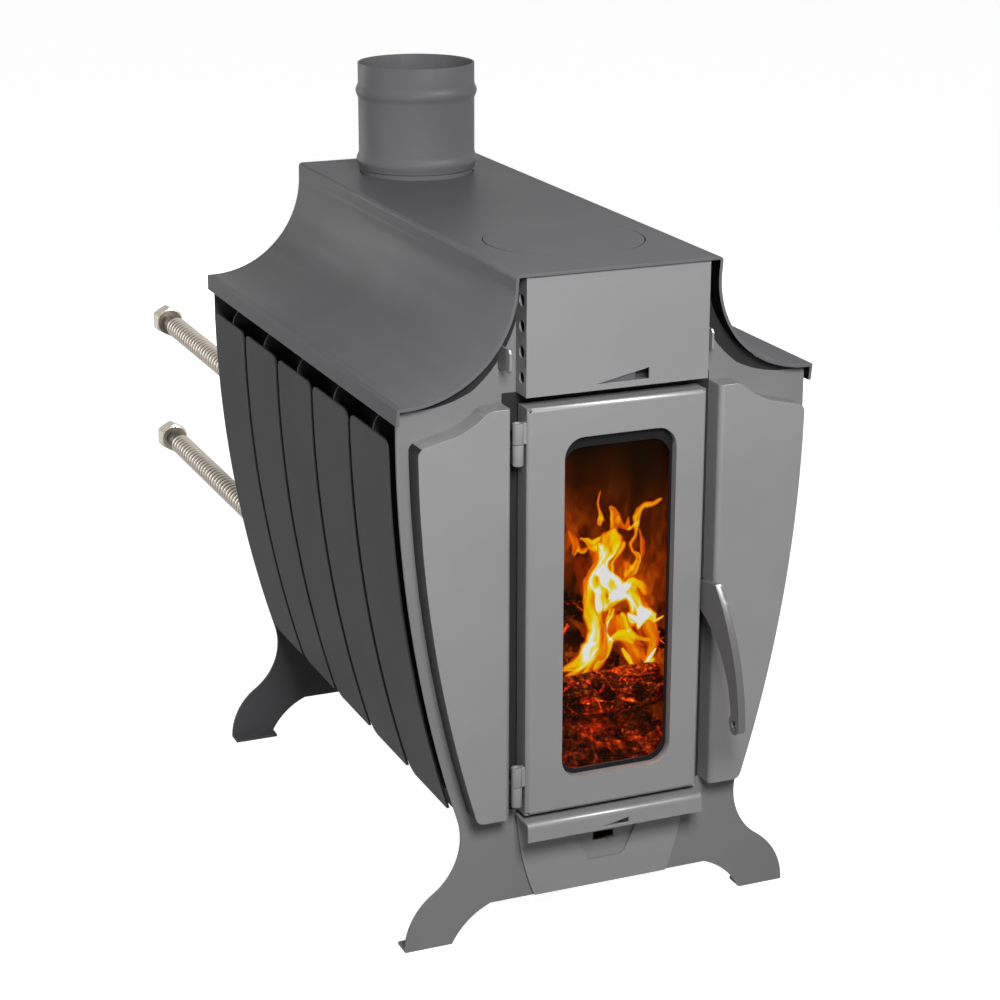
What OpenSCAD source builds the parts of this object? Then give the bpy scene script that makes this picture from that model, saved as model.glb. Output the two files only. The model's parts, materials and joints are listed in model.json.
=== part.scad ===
// Wood-burning heating stove. A hull-shaped firebox stands between two sheet-steel leg panels,
// under a flared convection hood. Millimetres, +Z up, the door faces -Y.

/* [Overall] */
// Length from the front leg panel's face to the rear leg panel's back face
panel_span = 543.5; // [480:0.5:640]
// Thickness of the leg panels and of the hood
sheet = 3; // [2:0.5:4]
// Thickness of the fins, wings, boxes and the drawer
thin = 2; // [1.5:0.5:2.5]

/* [Side curve] */
// Radius of the bowed sides, seen from the front
hull_r = 1265; // [1100:5:1600]
// Drop from the hood's rim to where the sides are widest
hull_drop = 28.5; // [15:0.5:45]

/* [Legs] */
// Inset of a foot's outer end from the widest part of the sides
foot_in = 3; // [0:0.5:12]
// Width of a foot's sole
foot_w = 46.5; // [40:0.5:54]
// Height of the waist
waist_z = 106; // [95:1:118]
// Radius of the outer curve of a foot
foot_r = 65; // [50:1:80]
// Height of the arch between the feet
arch_h = 35; // [28:1:37]
// Radius of the arch's ends
arch_r = 74; // [60:1:90]
// Drop of the arch's centres below the floor
arch_drop = 34; // [24:1:40]
// Depth of the bent foot flange
flange_d = 19; // [16:1:30]
// Radius of the hole in each foot flange
flange_hole_r = 3.5; // [2.5:0.5:5]
// Distance of that hole from the panel's outer face
flange_hole_in = 11; // [9:0.5:13]
// Distance of that hole from the foot's outer end
flange_hole_side = 22.5; // [15:0.5:30]

/* [Hood] */
// Distance from the air box's side to the hood's upright side
neck_side = 11; // [6:0.5:14]
// Radius of the hollow sides
hood_r = 98.5; // [92:1:108]
// How far the sides reach out past the foot of the hollow
rim_flat = 2.5; // [0.5:0.5:8]
// Height of the upright stretch above the hollow
neck_rise = 13.5; // [6:0.5:16]
// Height of the lip along the rim
lip_h = 16; // [10:1:20]
// Bend radius along the top's edges
hood_bend = 4; // [3.5:0.5:6]
// How far the rim's front end lies behind the top's front edge
hood_lean = 16.5; // [8:0.5:20]
// Distance from the top's front edge to the front leg panel
front_setback = 27; // [25:1:32]
// Overhang of the hood behind the rear leg panel
rear_overhang = 12.5; // [6:0.5:20]

/* [Flue] */
// Outer radius of the flue collar
flue_r = 60; // [50:1:65]
// Wall of the flue collar and its stub
flue_wall = 1.7; // [1.2:0.1:2]
// Height of the flue collar
collar_h = 107.5; // [80:0.5:130]
// Gap between the hood and the collar's lower edge
collar_gap = 5; // [3:0.5:8]
// Height of the collar's plain end above its upper bead
spigot_h = 20; // [15:1:35]
// Height of a bead
bead_h = 17; // [10:1:20]
// How far a bead stands out
bead_out = 2.6; // [1.5:0.1:4]
// Distance from the flue's axis to the rear leg panel
flue_back = 74.5; // [72:0.5:90]

/* [Hob] */
// Radius of the lift-off hob cover
hob_r = 73.5; // [60:0.5:76]
// Gap around the hob cover
hob_gap = 1; // [0.5:0.1:1.5]
// Distance from the hood's front edge to the hob's centre
hob_y = 123; // [118:1:160]
// Height of the ring between the firebox and the hood
hob_ring_h = 33; // [25:1:45]
// Depth of the plug under the hob cover
hob_plug = 6; // [4:1:10]

/* [Front box] */
// Height of the air box over the door
box_h = 107.5; // [90:1:120]
// How much wider than the door it is, on each side
box_side = 1; // [0:0.5:3]
// How far its face stands in front of the leg panel
box_stand = 23.6; // [20:0.2:25]
// Gap between the door and the air box
box_gap = 10; // [8:1:14]
// Radius of the air holes in its sides
air_hole_r = 5.5; // [4:0.5:7]
// Distance between those holes
air_hole_pitch = 23; // [18:1:25]
// Length of its wedge-shaped slot
wedge_l = 52; // [40:1:60]
// Height of that slot at its wide end
wedge_h = 10.5; // [8:0.5:12]
// How much of the slot the air slider leaves open
box_open = 12.5; // [8:0.5:20]

/* [Wings] */
// How far the wing panels stand in front of the leg panel
wing_stand = 23.2; // [20:0.2:25]
// Inset of a wing's outer edge from the leg panel's edge
wing_inset = 11; // [8:0.5:16]
// Gap between the door's side and a wing
wing_gap = 14.5; // [14:0.5:18]
// Bend radius of a wing's inner edge
wing_bend = 5; // [3:0.5:7]
// Width of a wing's level top
wing_flat = 16; // [8:1:24]
// Radius of the round beside that level top
wing_round_r = 14; // [10:1:18]
// Radius of the hollow that follows it
wing_hollow_r = 75; // [60:1:90]
// Steepest slope of a wing's top, in degrees
wing_steep = 42; // [34:1:46]

/* [Door] */
// Height of the door's lower edge above the floor
door_z = 129; // [126:0.5:134]
// How far the door's face stands in front of the leg panel
door_stand = 25.4; // [24.5:0.1:26.5]
// Gap between the door's back edge and the leg panel
door_gap = 3; // [2:0.5:5]
// Thickness of the door's sheet
door_t = 2.5; // [2:0.5:3]
// Bend radius of the door's edges
door_bend = 4; // [3:0.5:6]
// Radius of the relief hole at each corner
relief_r = 2.2; // [1.4:0.1:2.6]

/* [Window] */
// Width of the window
window_w = 110; // [90:1:116]
// Height of the window
window_h = 326; // [280:1:330]
// Width of the door's sheet beside the window
door_side = 32.5; // [30:0.5:40]
// Height of the door's sheet over the window
door_head = 30.5; // [28:0.5:40]
// Sideways offset of the window from the door's middle
window_x = 3; // [0:0.5:4]
// Height of the window's lower edge above the door's lower edge
window_up = 31.5; // [29:0.5:36]
// Corner radius of the window
window_r = 19; // [10:1:24]
// Depth from the door's face to the liner behind it
liner_in = 8.5; // [7:0.5:9.5]
// How far the liner shows above the window's lower edge
sill = 4; // [2:0.5:6]
// How far it shows under the window's upper edge
brow = 12; // [8:0.5:14]
// How far it shows beside the window
jamb = 2; // [0:0.5:4]
// Overlap of the glass behind the liner
glass_lap = 10; // [8:0.5:11]
// Thickness of the glass
glass_t = 4; // [3:0.5:4]
// Thickness of the flat gasket in front of the glass
glass_seal = 1.5; // [1:0.5:2]
// Thickness of the strips that clamp the glass
clamp_t = 1.5; // [1:0.5:1.5]
// Width of a clamp strip's foot
clamp_w = 12; // [10:0.5:14]
// How far a clamp strip laps over the glass
clamp_lip = 6; // [4:0.5:8]
// Thickness of the sealing rope between door and firebox
rope_d = 8; // [6:0.5:8]
// Radius of the clamp screws
screw_r = 2; // [1.5:0.5:2]

/* [Hinges] */
// Outer radius of the hinge barrels
barrel_r = 5.1; // [4.8:0.1:6.4]
// Length of one whole hinge
barrel_l = 38.5; // [30:0.5:60]
// Distance of the upper hinge below the door's top
hinge_top = 12.5; // [5:0.5:30]
// Distance of the lower hinge above the door's lower edge
hinge_low = 10.5; // [4:0.5:30]
// Radius of the hinge pins
hinge_pin_r = 3; // [2.5:0.1:3.4]
// Distance from the hinge axis to the door's side
hinge_side = 7.5; // [7.2:0.1:8]

/* [Handle and latch] */
// Thickness of the handle's plate
handle_t = 7; // [4:0.5:7]
// How far the handle reaches in front of the leg panel
handle_reach = 102; // [90:1:125]
// Height of the handle's eye above the door's lower edge
eye_up = 89; // [70:1:110]
// Outer radius of the eye
eye_r = 9.5; // [8:0.5:12]
// Radius of the hole in the eye
eye_hole_r = 4; // [2.5:0.5:5]
// Radius of the handle's front edge
grip_r = 178; // [160:1:220]
// Radius of the handle's back edge
grip_inner_r = 100; // [92:1:110]
// Width of the grip at the eye
grip_w = 15; // [12:0.5:18]
// Height of the handle's pivot above its eye
pivot_up = 102; // [98:1:112]
// Distance of the pivot behind the door's face
pivot_in = 8; // [7:0.2:8.6]
// Radius of the pivot pin
pivot_r = 3; // [2.5:0.1:3.5]
// Radius of the catch pin
catch_r = 2.3; // [1.8:0.1:2.5]

/* [Ash drawer] */
// How much narrower than the door the drawer's front is, on each side
drawer_side = 1.5; // [0:0.5:5]
// Radius of the curved sides of that front
drawer_curve_r = 232; // [200:1:300]
// Half the width of the ash tray
tray_half = 66; // [55:1:68]
// Room over the ash tray, under the firebox's floor
tray_room = 8.2; // [6:0.1:20]
// Length of the ash tray
tray_l = 450; // [380:5:460]
// Thickness of the tray's sheet
tray_t = 1.5; // [1:0.5:2]
// Gap between the door and the ledge under it
ledge_gap = 4.5; // [3.5:0.5:8]
// How far the ledge stands in front of the leg panel
ledge_stand = 34.5; // [30:0.5:42]
// Bend radius of the ledge
ledge_bend = 5; // [3:0.5:6]
// Height of the ledge's bent lip
ledge_lip = 17.5; // [15:0.5:19]
// How much wider than the door the ledge is, on each side
ledge_side = 1.5; // [0:0.5:4]
// Travel of the air slider in the drawer's front
slider_travel = 20; // [12:1:24]

/* [Fins] */
// Number of fins on each side
fin_count = 5; // [5:1:5]
// Gap between two fins
fin_gap = 9; // [6:0.5:14]
// Gap between the front leg panel and the first fin
fin_front_gap = 20.5; // [12:0.5:30]
// Drop of the fins' lower edge below the door
fin_low = 3; // [0:0.5:6]
// Drop of the fins' upper edge below the hood's rim
fin_drop = 37.5; // [30:0.5:50]
// Place of a fin's web, from its front edge
web_at = 41; // [20:1:60]
// Corner radius of the fins
fin_r = 10; // [6:1:14]

/* [Firebox] */
// Distance from the fins' faces to the firebox's wall
firebox_gap = 24; // [20:0.5:30]
// Thickness of the firebox's walls
fire_t = 3; // [2:0.5:4]
// Thickness of the firebox's end plates
end_t = 4; // [3:0.5:5]
// Drop of the firebox's floor below the door
floor_drop = 7; // [5:0.5:9]
// Drop of the firebox's shoulders below the rim
shoulder_drop = 45.5; // [40:0.5:60]
// Rise of the firebox's neck above the rim
neck_up = 34.5; // [28:0.5:40]
// Gap between the firebox's neck and the hood's neck
neck_gap = 13; // [10:1:16]
// Gap between the door's inside and the sealing rim, at its sides
rim_side = 9; // [6:0.5:10]
// The same gap at the rim's top and bottom
rim_end = 3; // [2:0.5:4]
// Height of the smoke baffle over the floor
baffle_z = 470; // [440:1:474]
// Gap that the baffle leaves to the door's side
baffle_gap = 75; // [60:1:100]

/* [Fire] */
// Half the width of the grate
grate_half = 75; // [60:1:80]
// Length of the grate
grate_l = 290; // [240:5:300]
// Thickness of the grate
grate_t = 10; // [8:1:12]
// Number of slots in the grate
grate_slots = 11; // [7:1:13]
// Height of the ember bed
ember_h = 36; // [24:1:40]
// Radius of a log
log_r = 20; // [16:1:22]

/* [Water heater] */
// Inset of the water pipes from the widest part of the sides
pipe_in = 80.5; // [78:0.5:90]
// Height of the upper water pipe
upper_pipe_z = 360; // [340:1:372]
// Height of the lower water pipe
lower_pipe_z = 208; // [206:1:220]
// Outer radius of the threaded nipples
nipple_r = 13.2; // [10:0.1:13.4]
// Length of the nipples behind the rear panel
nipple_out = 27; // [24:1:40]
// Depth of the water tank
tank_d = 38; // [25:1:45]

/* [Hoses] */
// Outer radius of the corrugated hoses
hose_r = 12.8; // [10:0.1:14]
// Radius of their bore
hose_bore_r = 9; // [7:0.5:10]
// Height of the ribs
rib_h = 1.8; // [1:0.1:2.4]
// Distance between the ribs
rib_pitch = 14; // [10:0.5:20]
// Length of each hose
hose_l = 445; // [360:5:500]
// Length of a union nut
nut_l = 22; // [18:1:28]
// Width of a union nut across its flats
nut_af = 32; // [31:1:40]
// Thickness of a union nut's end wall
nut_wall = 5; // [3:0.5:7]

/* [Hidden] */
$fn = 96;
hull_fn = 720;
running = 0.05;
slack = 0.3;

// Heights, from the door up to the hood and down to the floor.
window_z = door_z + window_up;
door_top_z = window_z + window_h + door_head;
box_z0 = door_top_z + box_gap;
hood_in_z = box_z0 + box_h;
hood_top_z = hood_in_z + sheet;
rim_z = hood_top_z - neck_rise - hood_r;
hull_z = rim_z - hull_drop;
fire_top_z = hood_in_z - hob_ring_h;
floor_z = door_z - floor_drop;
fin_z0 = door_z - fin_low;
fin_z1 = rim_z - fin_drop;

// Half widths, from the window out to the sides.
door_half = window_w / 2 + door_side;
box_half = door_half + box_side;
wing_inner = door_half + wing_gap;
neck_half = box_half + neck_side;
hull_half = neck_half + hood_r + rim_flat;
foot_half = hull_half - foot_in;
foot_inner = foot_half - foot_w;
flange_hole_x = foot_half - flange_hole_side;
pipe_x = hull_half - pipe_in;

// Places along the stove, from the hood's front edge.
panel_y = front_setback;
panel_back_y = panel_y + sheet;
rear_y = panel_y + panel_span;
rear_front_y = rear_y - sheet;
hood_y1 = rear_y + rear_overhang;
door_y = panel_y - door_stand;
box_y = panel_y - box_stand;
wing_y = panel_y - wing_stand;
flue_y = rear_front_y - flue_back;
fire_y0 = panel_back_y + end_t;
fire_y1 = rear_front_y - end_t;

// The frame's origin is midway between the handle's front and the end of the nuts on the nipples.
front_y = panel_y - handle_reach;
back_y = rear_y + nipple_out;
origin_y = -(front_y + back_y + nut_wall) / 2;

// The bowed side: half the width at height z, less an inset.
hull_c = hull_half - hull_r;
function hull_x(z, inset = 0) =
    z >= hull_z ? hull_half - inset : hull_c + sqrt(pow(hull_r - inset, 2) - pow(hull_z - z, 2));

// Tabs that hold the leg panel on the firebox: the left one beside the wing, the right one beside the box.
hook_left = wing_inner + 1;
hook_right = box_half + 2.5;
hook_up = 25;
hook_h = 21;
hook_cut = 3;
hook_z0 = rim_z + hook_up;
hook_z1 = hook_z0 + hook_h;

// Feet: the waist's arc touches both the foot's arc and the bowed side. Its radius is a + b * its centre,
// and its centre is the root of a quadratic.
foot_cx = foot_half - foot_r;
arc_b = (foot_cx - hull_c) / (hull_r - foot_r);
arc_k = pow(foot_cx, 2) - pow(hull_c, 2) + pow(waist_z, 2) - pow(hull_z - waist_z, 2)
    - pow(foot_r, 2) + pow(hull_r, 2);
arc_a = -arc_k / (2 * (hull_r - foot_r));
quad_a = 1 - arc_b * arc_b;
quad_b = -2 * (foot_cx + arc_b * (foot_r + arc_a));
quad_c = pow(foot_cx, 2) + pow(waist_z, 2) - pow(foot_r + arc_a, 2);
waist_cx = 2 * quad_c / (-quad_b + sqrt(quad_b * quad_b - 4 * quad_a * quad_c));
waist_r = arc_a + arc_b * waist_cx;
join_a = atan2(waist_z, waist_cx - foot_cx);
waist_top_a = atan2(hull_z - waist_z, hull_c - waist_cx);
waist_top_z = waist_z + waist_r * sin(waist_top_a);
arch_cx = foot_inner - sqrt(arch_r * arch_r - arch_drop * arch_drop);

// Hood.
hollow_x = neck_half + hood_r;
hollow_z = rim_z + hood_r;
rim_half = hull_half + sheet;
lip_z = rim_z - lip_h;
lean_slope = hood_lean / (hood_top_z - rim_z);

// Door and its seal.
door_back_y = panel_y - door_gap;
seal_y = door_y + door_t;
liner_y = door_y + liner_in;
rope_y = liner_y + thin;
glass_y = rope_y + glass_seal;
glass_y1 = glass_y + glass_t;
clamp_y1 = glass_y1 + clamp_t;
rim_front_y = rope_y + rope_d + slack;
rim_half_x = door_half - door_t - rim_side;
rim_z0 = door_z + door_t + rim_end;
rim_z1 = door_top_z - door_t - rim_end;
window_cz = window_z + window_h / 2;
view_w = window_w - 2 * jamb;
view_h = window_h - sill - brow;
view_cz = window_z + sill + view_h / 2;
glass_w = view_w + 2 * glass_lap;
glass_h = view_h + 2 * glass_lap;
glass_z0 = view_cz - glass_h / 2;
glass_z1 = view_cz + glass_h / 2;
clamp_half = view_w / 2 + clamp_lip;
screw_in = 7;
screw_xs = [window_x - clamp_half + screw_in, window_x, window_x + clamp_half - screw_in];
screw_zs = [glass_z0 - slack - clamp_w / 2, glass_z1 + slack + clamp_w / 2];
head_r = screw_r + 1.2;
head_h = 2.5;

// Hinges.
hinge_x = -door_half - hinge_side;
hinge_y = door_y + barrel_r;
barrel_zs = [door_z + hinge_low, door_top_z - hinge_top - barrel_l];
seam = 0.5;

// Handle and latch, in the door's side plane.
handle_x = door_half + 0.8;
eye_y = front_y + eye_r;
eye_z = door_z + eye_up;
pivot_y = door_y + pivot_in;
pivot_z = eye_z + pivot_up;
hub_r = pivot_in - 1;
hook_t = 3.5;
catch_y = pivot_y + hub_r + slack + catch_r + 0.5;
hook_y = catch_y + catch_r + 0.5;
washer_t = 1.5;
plate_x = handle_x + handle_t + washer_t + 0.7;
plate_t = 3;

// Ash drawer.
front_gap = 0.9;
drawer_half = door_half - drawer_side;
ledge_half = door_half + ledge_side;
ledge_z = door_z - ledge_gap;
front_y1 = panel_y - front_gap;
front_y0 = front_y1 - thin;
ash_z0 = arch_h + 3.5;
tray_z0 = ash_z0 + thin + slack;
tray_z1 = floor_z - tray_room;
ash_back = 40;
tray_seam = 0.05;
ledge_y = panel_y - ledge_stand;
tab_x = 4.5;
tab_z0 = arch_h + 26;
tab_z1 = tray_z1 - 3;
tab_w0 = 36;
tab_w1 = 82;
tab_cut = 3;
slide_t = 1.5;
slide_x0 = -tray_half + tray_t + 1 + slider_travel;
slide_x1 = tab_x + tab_w1 / 2 + 2;
pocket = slide_t + 2 * slack;
slot_x = tab_x - 12;
slot_w = 21;
slot_z = tab_z0 + 19;
slot_h = 8;
lower_wedge_x = -15;
lower_wedge_l = 28;
lower_wedge_h = 5.3;
lower_wedge_z = ledge_z - ledge_lip + 3;
strap_w = 9;
strap_z = lower_wedge_z - slide_t;

// Fins.
fin_y0 = panel_back_y + fin_front_gap;
fin_y1 = rear_front_y - 1;
fin_w = (fin_y1 - fin_y0 - (fin_count - 1) * fin_gap) / fin_count;
web_top_z = rim_z - 20;
web_keep = 30;
web_r = 20;

// Firebox.
shoulder_z = rim_z - shoulder_drop;
neck_z = rim_z + neck_up;
fire_neck = neck_half - sheet - neck_gap;
hob_in_r = hob_r - 5.5;
hob_out_r = hob_r + 6.5;
stub_r = flue_r - flue_wall - slack;
collar_z0 = hood_top_z + collar_gap;
collar_z1 = collar_z0 + collar_h;
rail = 12;

// Fire.
grate_y0 = fire_y0 + 76;
grate_z = floor_z + end_t;
ember_z = grate_z + grate_t;
ember_top_z = ember_z + ember_h;
ember_y0 = fire_y0 + 26;
ember_half = grate_half + 20;
ember_l = 230;
log_z = ember_top_z + 2 + log_r;
log_front = 38;
log_step = 90;
log_ys = [ember_y0 + log_front, ember_y0 + log_front + log_step];
cross_l = 165;
cross_x = 31;
cross_y = 8;

// Water heater and hoses.
tank_x0 = -pipe_x - nipple_r - 2;
tank_x1 = 60;
tank_z0 = lower_pipe_z - nipple_r - 2;
tank_z1 = upper_pipe_z + nipple_r + 8;
nut_y = back_y - nut_l + nut_wall;
hose_y0 = nut_y + nut_l;
hose_y1 = hose_y0 + hose_l;
rib_n = floor((hose_l - 4 * hose_r) / rib_pitch);
rib_y0 = hose_y0 + (hose_l - rib_n * rib_pitch) / 2;

// Helpers

// Moves a piece from the design's zero to the frame's origin.
module place() {
    translate([0, origin_y, 0]) children();
}

// Extrudes a drawing of the front view from y0 back to y1.
module along_y(y0, y1) {
    translate([0, y1, 0])
        rotate([90, 0, 0])
            linear_extrude(height = y1 - y0) children();
}

// Extrudes a drawing of the side view, Y to the right and Z up, from x0 to x1.
module along_x(x0, x1) {
    translate([x0, 0, 0])
        rotate([90, 0, 90])
            linear_extrude(height = x1 - x0) children();
}

module box(x0, x1, y0, y1, z0, z1) {
    translate([x0, y0, z0]) cube([x1 - x0, y1 - y0, z1 - z0]);
}

module rect(x0, x1, z0, z1) {
    translate([x0, z0]) square([x1 - x0, z1 - z0]);
}

module rod_y(x, z, r, y0, y1) {
    translate([x, y0, z]) rotate([-90, 0, 0]) cylinder(h = y1 - y0, r = r);
}

module rod_x(y, z, r, x0, x1) {
    translate([x0, y, z]) rotate([0, 90, 0]) cylinder(h = x1 - x0, r = r);
}

module both_sides() {
    children();
    mirror([1, 0, 0]) children();
}

// A rectangle with round corners, centred on (cx, cz).
module round_rect(cx, cz, w, h, r) {
    translate([cx, cz]) {
        square([w - 2 * r, h], center = true);
        square([w, h - 2 * r], center = true);
        for (sx = [-1, 1], sz = [-1, 1])
            translate([sx * (w / 2 - r), sz * (h / 2 - r)]) circle(r = r);
    }
}

// Everything inside the bowed sides, less an inset, between two heights.
module hull_area(inset, z0, z1) {
    intersection() {
        rect(-hull_half + inset, hull_half - inset, z0, z1);
        union() {
            rect(-hull_half, hull_half, hull_z, z1 + 1);
            intersection() {
                translate([hull_c, hull_z]) circle(r = hull_r - inset, $fn = hull_fn);
                translate([-hull_c, hull_z]) circle(r = hull_r - inset, $fn = hull_fn);
            }
        }
    }
}

// The outline under the hood's top surface, moved inwards by an inset.
module hood_area(inset, z0) {
    difference() {
        rect(-rim_half + inset, rim_half - inset, z0, hood_top_z - inset);
        both_sides() {
            translate([hollow_x, hollow_z]) circle(r = hood_r + inset, $fn = 192);
            rect(hollow_x, rim_half + 1, rim_z - inset, hood_top_z + 1);
            rect(neck_half - inset, hollow_x + 1, hollow_z, hood_top_z + 1);
            corner_cut(neck_half - inset, hood_top_z - inset, max(hood_bend - inset, 0.5));
        }
    }
}

// What a round of radius r takes off the corner at (x, z): the upper right one, or turned from it.
module corner_cut(x, z, r, turn = 0) {
    translate([x, z])
        rotate(turn)
            difference() {
                rect(-r, 1, -r, 1);
                translate([-r, -r]) circle(r = r);
            }
}

// Points on an arc round c from angle a0 to a1, with or without the last one.
function arc(c, r, a0, a1, n, last = true) = [
    for (i = [0:last ? n : n - 1])
        let (a = a0 + (a1 - a0) * i / n)
        c + r * [cos(a), sin(a)]
];

// Points of the bowed side between two heights, without its ends.
function hull_side(z0, z1, inset, n) = [
    for (i = [1:n - 1])
        let (z = z0 + (z1 - z0) * i / n)
        [hull_x(z, inset), z]
];

// The right half of the outline that both leg panels share, from the arch round to the top.
leg_half = concat(
    arc([arch_cx, -arch_drop], arch_r, asin((arch_h + arch_drop) / arch_r), asin(arch_drop / arch_r), 12),
    arc([foot_cx, 0], foot_r, 0, join_a, 16, false),
    arc([waist_cx, waist_z], waist_r, 180 + join_a, waist_top_a, 20),
    hull_side(waist_top_z, hull_z, 0, 48),
    [[hull_half, hull_z], [hull_half, rim_z - sheet]],
    arc([hollow_x, hollow_z], (hood_r + sheet) / cos(90 / 80), 270, 180, 40),
    [[neck_half - sheet, hood_in_z - 1], [neck_half - sheet - 1, hood_in_z]]
);

module leg_area() {
    polygon(concat(leg_half, [for (i = [len(leg_half) - 1:-1:0]) [-leg_half[i][0], leg_half[i][1]]]));
}

// The firebox's section, moved inwards by an inset.
module fire_area(inset, z0, z1) {
    wide = hull_x(shoulder_z, firebox_gap + inset);
    narrow = fire_neck - inset;
    hull_area(firebox_gap + inset, z0, shoulder_z);
    polygon([
        [-wide, shoulder_z], [wide, shoulder_z], [narrow, neck_z],
        [narrow, z1], [-narrow, z1], [-narrow, neck_z]
    ]);
}

// Leg panels

module foot_flanges(y0, y1, hole_y) {
    both_sides()
        difference() {
            box(foot_inner, foot_half, y0, y1, 0, sheet);
            translate([flange_hole_x, hole_y, -1]) cylinder(h = sheet + 2, r = flange_hole_r);
        }
}

module front_leg_panel() color("dimgray") place() {
    difference() {
        along_y(panel_y, panel_back_y) leg_area();
        along_y(panel_y - 1, panel_back_y + 1) {
            rect(-rim_half_x - 1, rim_half_x + 1, rim_z0 - 1, rim_z1 + 1);
            rect(-tray_half - 2, tray_half + 2, ash_z0 + thin, tray_z1 + 2);
            rect(-box_half + 8, box_half - 8, box_z0 + 8, hood_in_z - 8);
            for (x = hook_xs) rect(x - 0.5, x + thin + 0.5, hook_z0 - 1, hook_z1 + 1);
        }
    }
    foot_flanges(panel_back_y, panel_y + flange_d, panel_y + flange_hole_in);
}

module rear_leg_panel() color("dimgray") place() {
    difference() {
        along_y(rear_front_y, rear_y) leg_area();
        for (z = [upper_pipe_z, lower_pipe_z])
            rod_y(-pipe_x, z, nipple_r + 1, rear_front_y - 1, rear_y + 1);
    }
    foot_flanges(rear_y - flange_d, rear_front_y, rear_y - flange_hole_in);
}

// Two tabs on the firebox's front reach out through slots in the leg panel.
hook_xs = [-hook_left - thin, hook_right];
hook_y0 = wing_y - 2;

module panel_hooks() color("dimgray") place()
    for (x = hook_xs)
        along_x(x, x + thin)
            polygon([
                [hook_y0 + hook_cut, hook_z0], [panel_back_y, hook_z0], [panel_back_y, hook_z1],
                [hook_y0 + hook_cut, hook_z1], [hook_y0, hook_z1 - hook_cut], [hook_y0, hook_z0 + hook_cut]
            ]);

// Wing panels: trays with a bent edge all round, open at the back.

wing_r = 8;
wing_slope = 13;
wing_top_z = door_top_z + 1.5;
wing_low_z = door_z - 1;
round_c = [wing_inner + wing_flat, wing_top_z - wing_round_r];
hollow_c = round_c + (wing_round_r + wing_hollow_r) * [sin(wing_steep), cos(wing_steep)];

// A right wing's outline, moved inwards by an inset. Its top is level beside the door, then falls
// in an S to a gentle slope.
function wing_outline(inset) =
    let (
        edge = wing_inset + inset,
        r = wing_r - inset,
        low_z = wing_low_z + inset,
        low_c = [hull_x(low_z + r, edge + r), low_z + r],
        low_a = -asin((hull_z - low_c[1]) / (hull_r - edge - r)),
        hollow = wing_hollow_r + inset,
        slope_p = hollow_c - hollow * [sin(wing_slope), cos(wing_slope)],
        top_x = hull_half - edge - r,
        top_c = [top_x, slope_p[1] - (top_x - slope_p[0]) * tan(wing_slope) - r / cos(wing_slope)]
    )
    concat(
        [[wing_inner + inset, low_z]],
        arc(low_c, r, -90, low_a, 8),
        hull_side(low_c[1] + r * sin(low_a), top_c[1], edge, 48),
        arc(top_c, r, 0, 90 - wing_slope, 8),
        arc(hollow_c, hollow, 270 - wing_slope, 270 - wing_steep, 16, false),
        arc(round_c, wing_round_r - inset, 90 - wing_steep, 90, 8),
        [[wing_inner + inset, wing_top_z - inset]]
    );

module wing() {
    difference() {
        along_y(wing_y, panel_y) polygon(wing_outline(0));
        along_y(wing_y + thin, panel_y + 1) polygon(wing_outline(thin));
        // The inner edge is bent round instead of sharp.
        translate([wing_inner, wing_y, 0])
            difference() {
                translate([-1, -1, 0]) cube([wing_bend + 1, wing_bend + 1, rim_z]);
                translate([wing_bend, wing_bend, -1]) cylinder(h = rim_z + 2, r = wing_bend);
            }
    }
}

module right_wing_panel() color("gray") place() wing();

module left_wing_panel() color("gray") place() mirror([1, 0, 0]) wing();

// Hood, hob and flue

module convector_hood() color("dimgray") place()
    difference() {
        along_y(0, hood_y1)
            difference() {
                hood_area(0, lip_z);
                hood_area(sheet, lip_z - 1);
            }
        // The front edge leans back from the top to the rim.
        along_x(-rim_half - 1, rim_half + 1)
            polygon([
                [-5, hood_top_z + 5], [-5 * lean_slope, hood_top_z + 5],
                [(hood_top_z - lip_z + 5) * lean_slope, lip_z - 5], [-5, lip_z - 5]
            ]);
        translate([0, flue_y, hood_in_z - 1]) cylinder(h = sheet + 2, r = stub_r + 1);
        translate([0, hob_y, hood_in_z - 1]) cylinder(h = sheet + 2, r = hob_r + hob_gap);
    }

module hob_ring() color("dimgray") place()
    translate([0, hob_y, fire_top_z])
        difference() {
            cylinder(h = hob_ring_h, r = hob_out_r);
            translate([0, 0, -1]) cylinder(h = hob_ring_h + 2, r = hob_in_r);
        }

module hob_cover() color("dimgray") place()
    translate([0, hob_y, hood_in_z]) {
        cylinder(h = sheet, r = hob_r);
        translate([0, 0, -hob_plug]) cylinder(h = hob_plug, r = hob_in_r - 1);
    }

module flue_stub() color("gray") place()
    translate([0, flue_y, fire_top_z])
        difference() {
            cylinder(h = collar_z0 - fire_top_z + bead_h, r = stub_r);
            translate([0, 0, -1])
                cylinder(h = collar_z0 - fire_top_z + bead_h + 2, r = stub_r - flue_wall);
        }

// Points of a wall at radius r that swells into two beads, from height 0 to collar_h.
function bead(z, mid) = abs(z - mid) < bead_h / 2 ? bead_out * pow(cos(180 * (z - mid) / bead_h), 2) : 0;
function swell(z) = bead(z, bead_h / 2) + bead(z, collar_h - spigot_h - bead_h / 2);
bead_steps = 8;
collar_zs = concat(
    [for (i = [0:bead_steps]) bead_h * i / bead_steps],
    [for (i = [0:bead_steps]) collar_h - spigot_h - bead_h + bead_h * i / bead_steps],
    [collar_h]
);

module flue_collar() color("gray") place()
    translate([0, flue_y, collar_z0])
        rotate_extrude($fn = 128)
            polygon(concat(
                [for (z = collar_zs) [flue_r + swell(z), z]],
                [for (i = [len(collar_zs) - 1:-1:0])
                    [flue_r - flue_wall + swell(collar_zs[i]), collar_zs[i]]]
            ));

// Air box over the door, with its slider

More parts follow.
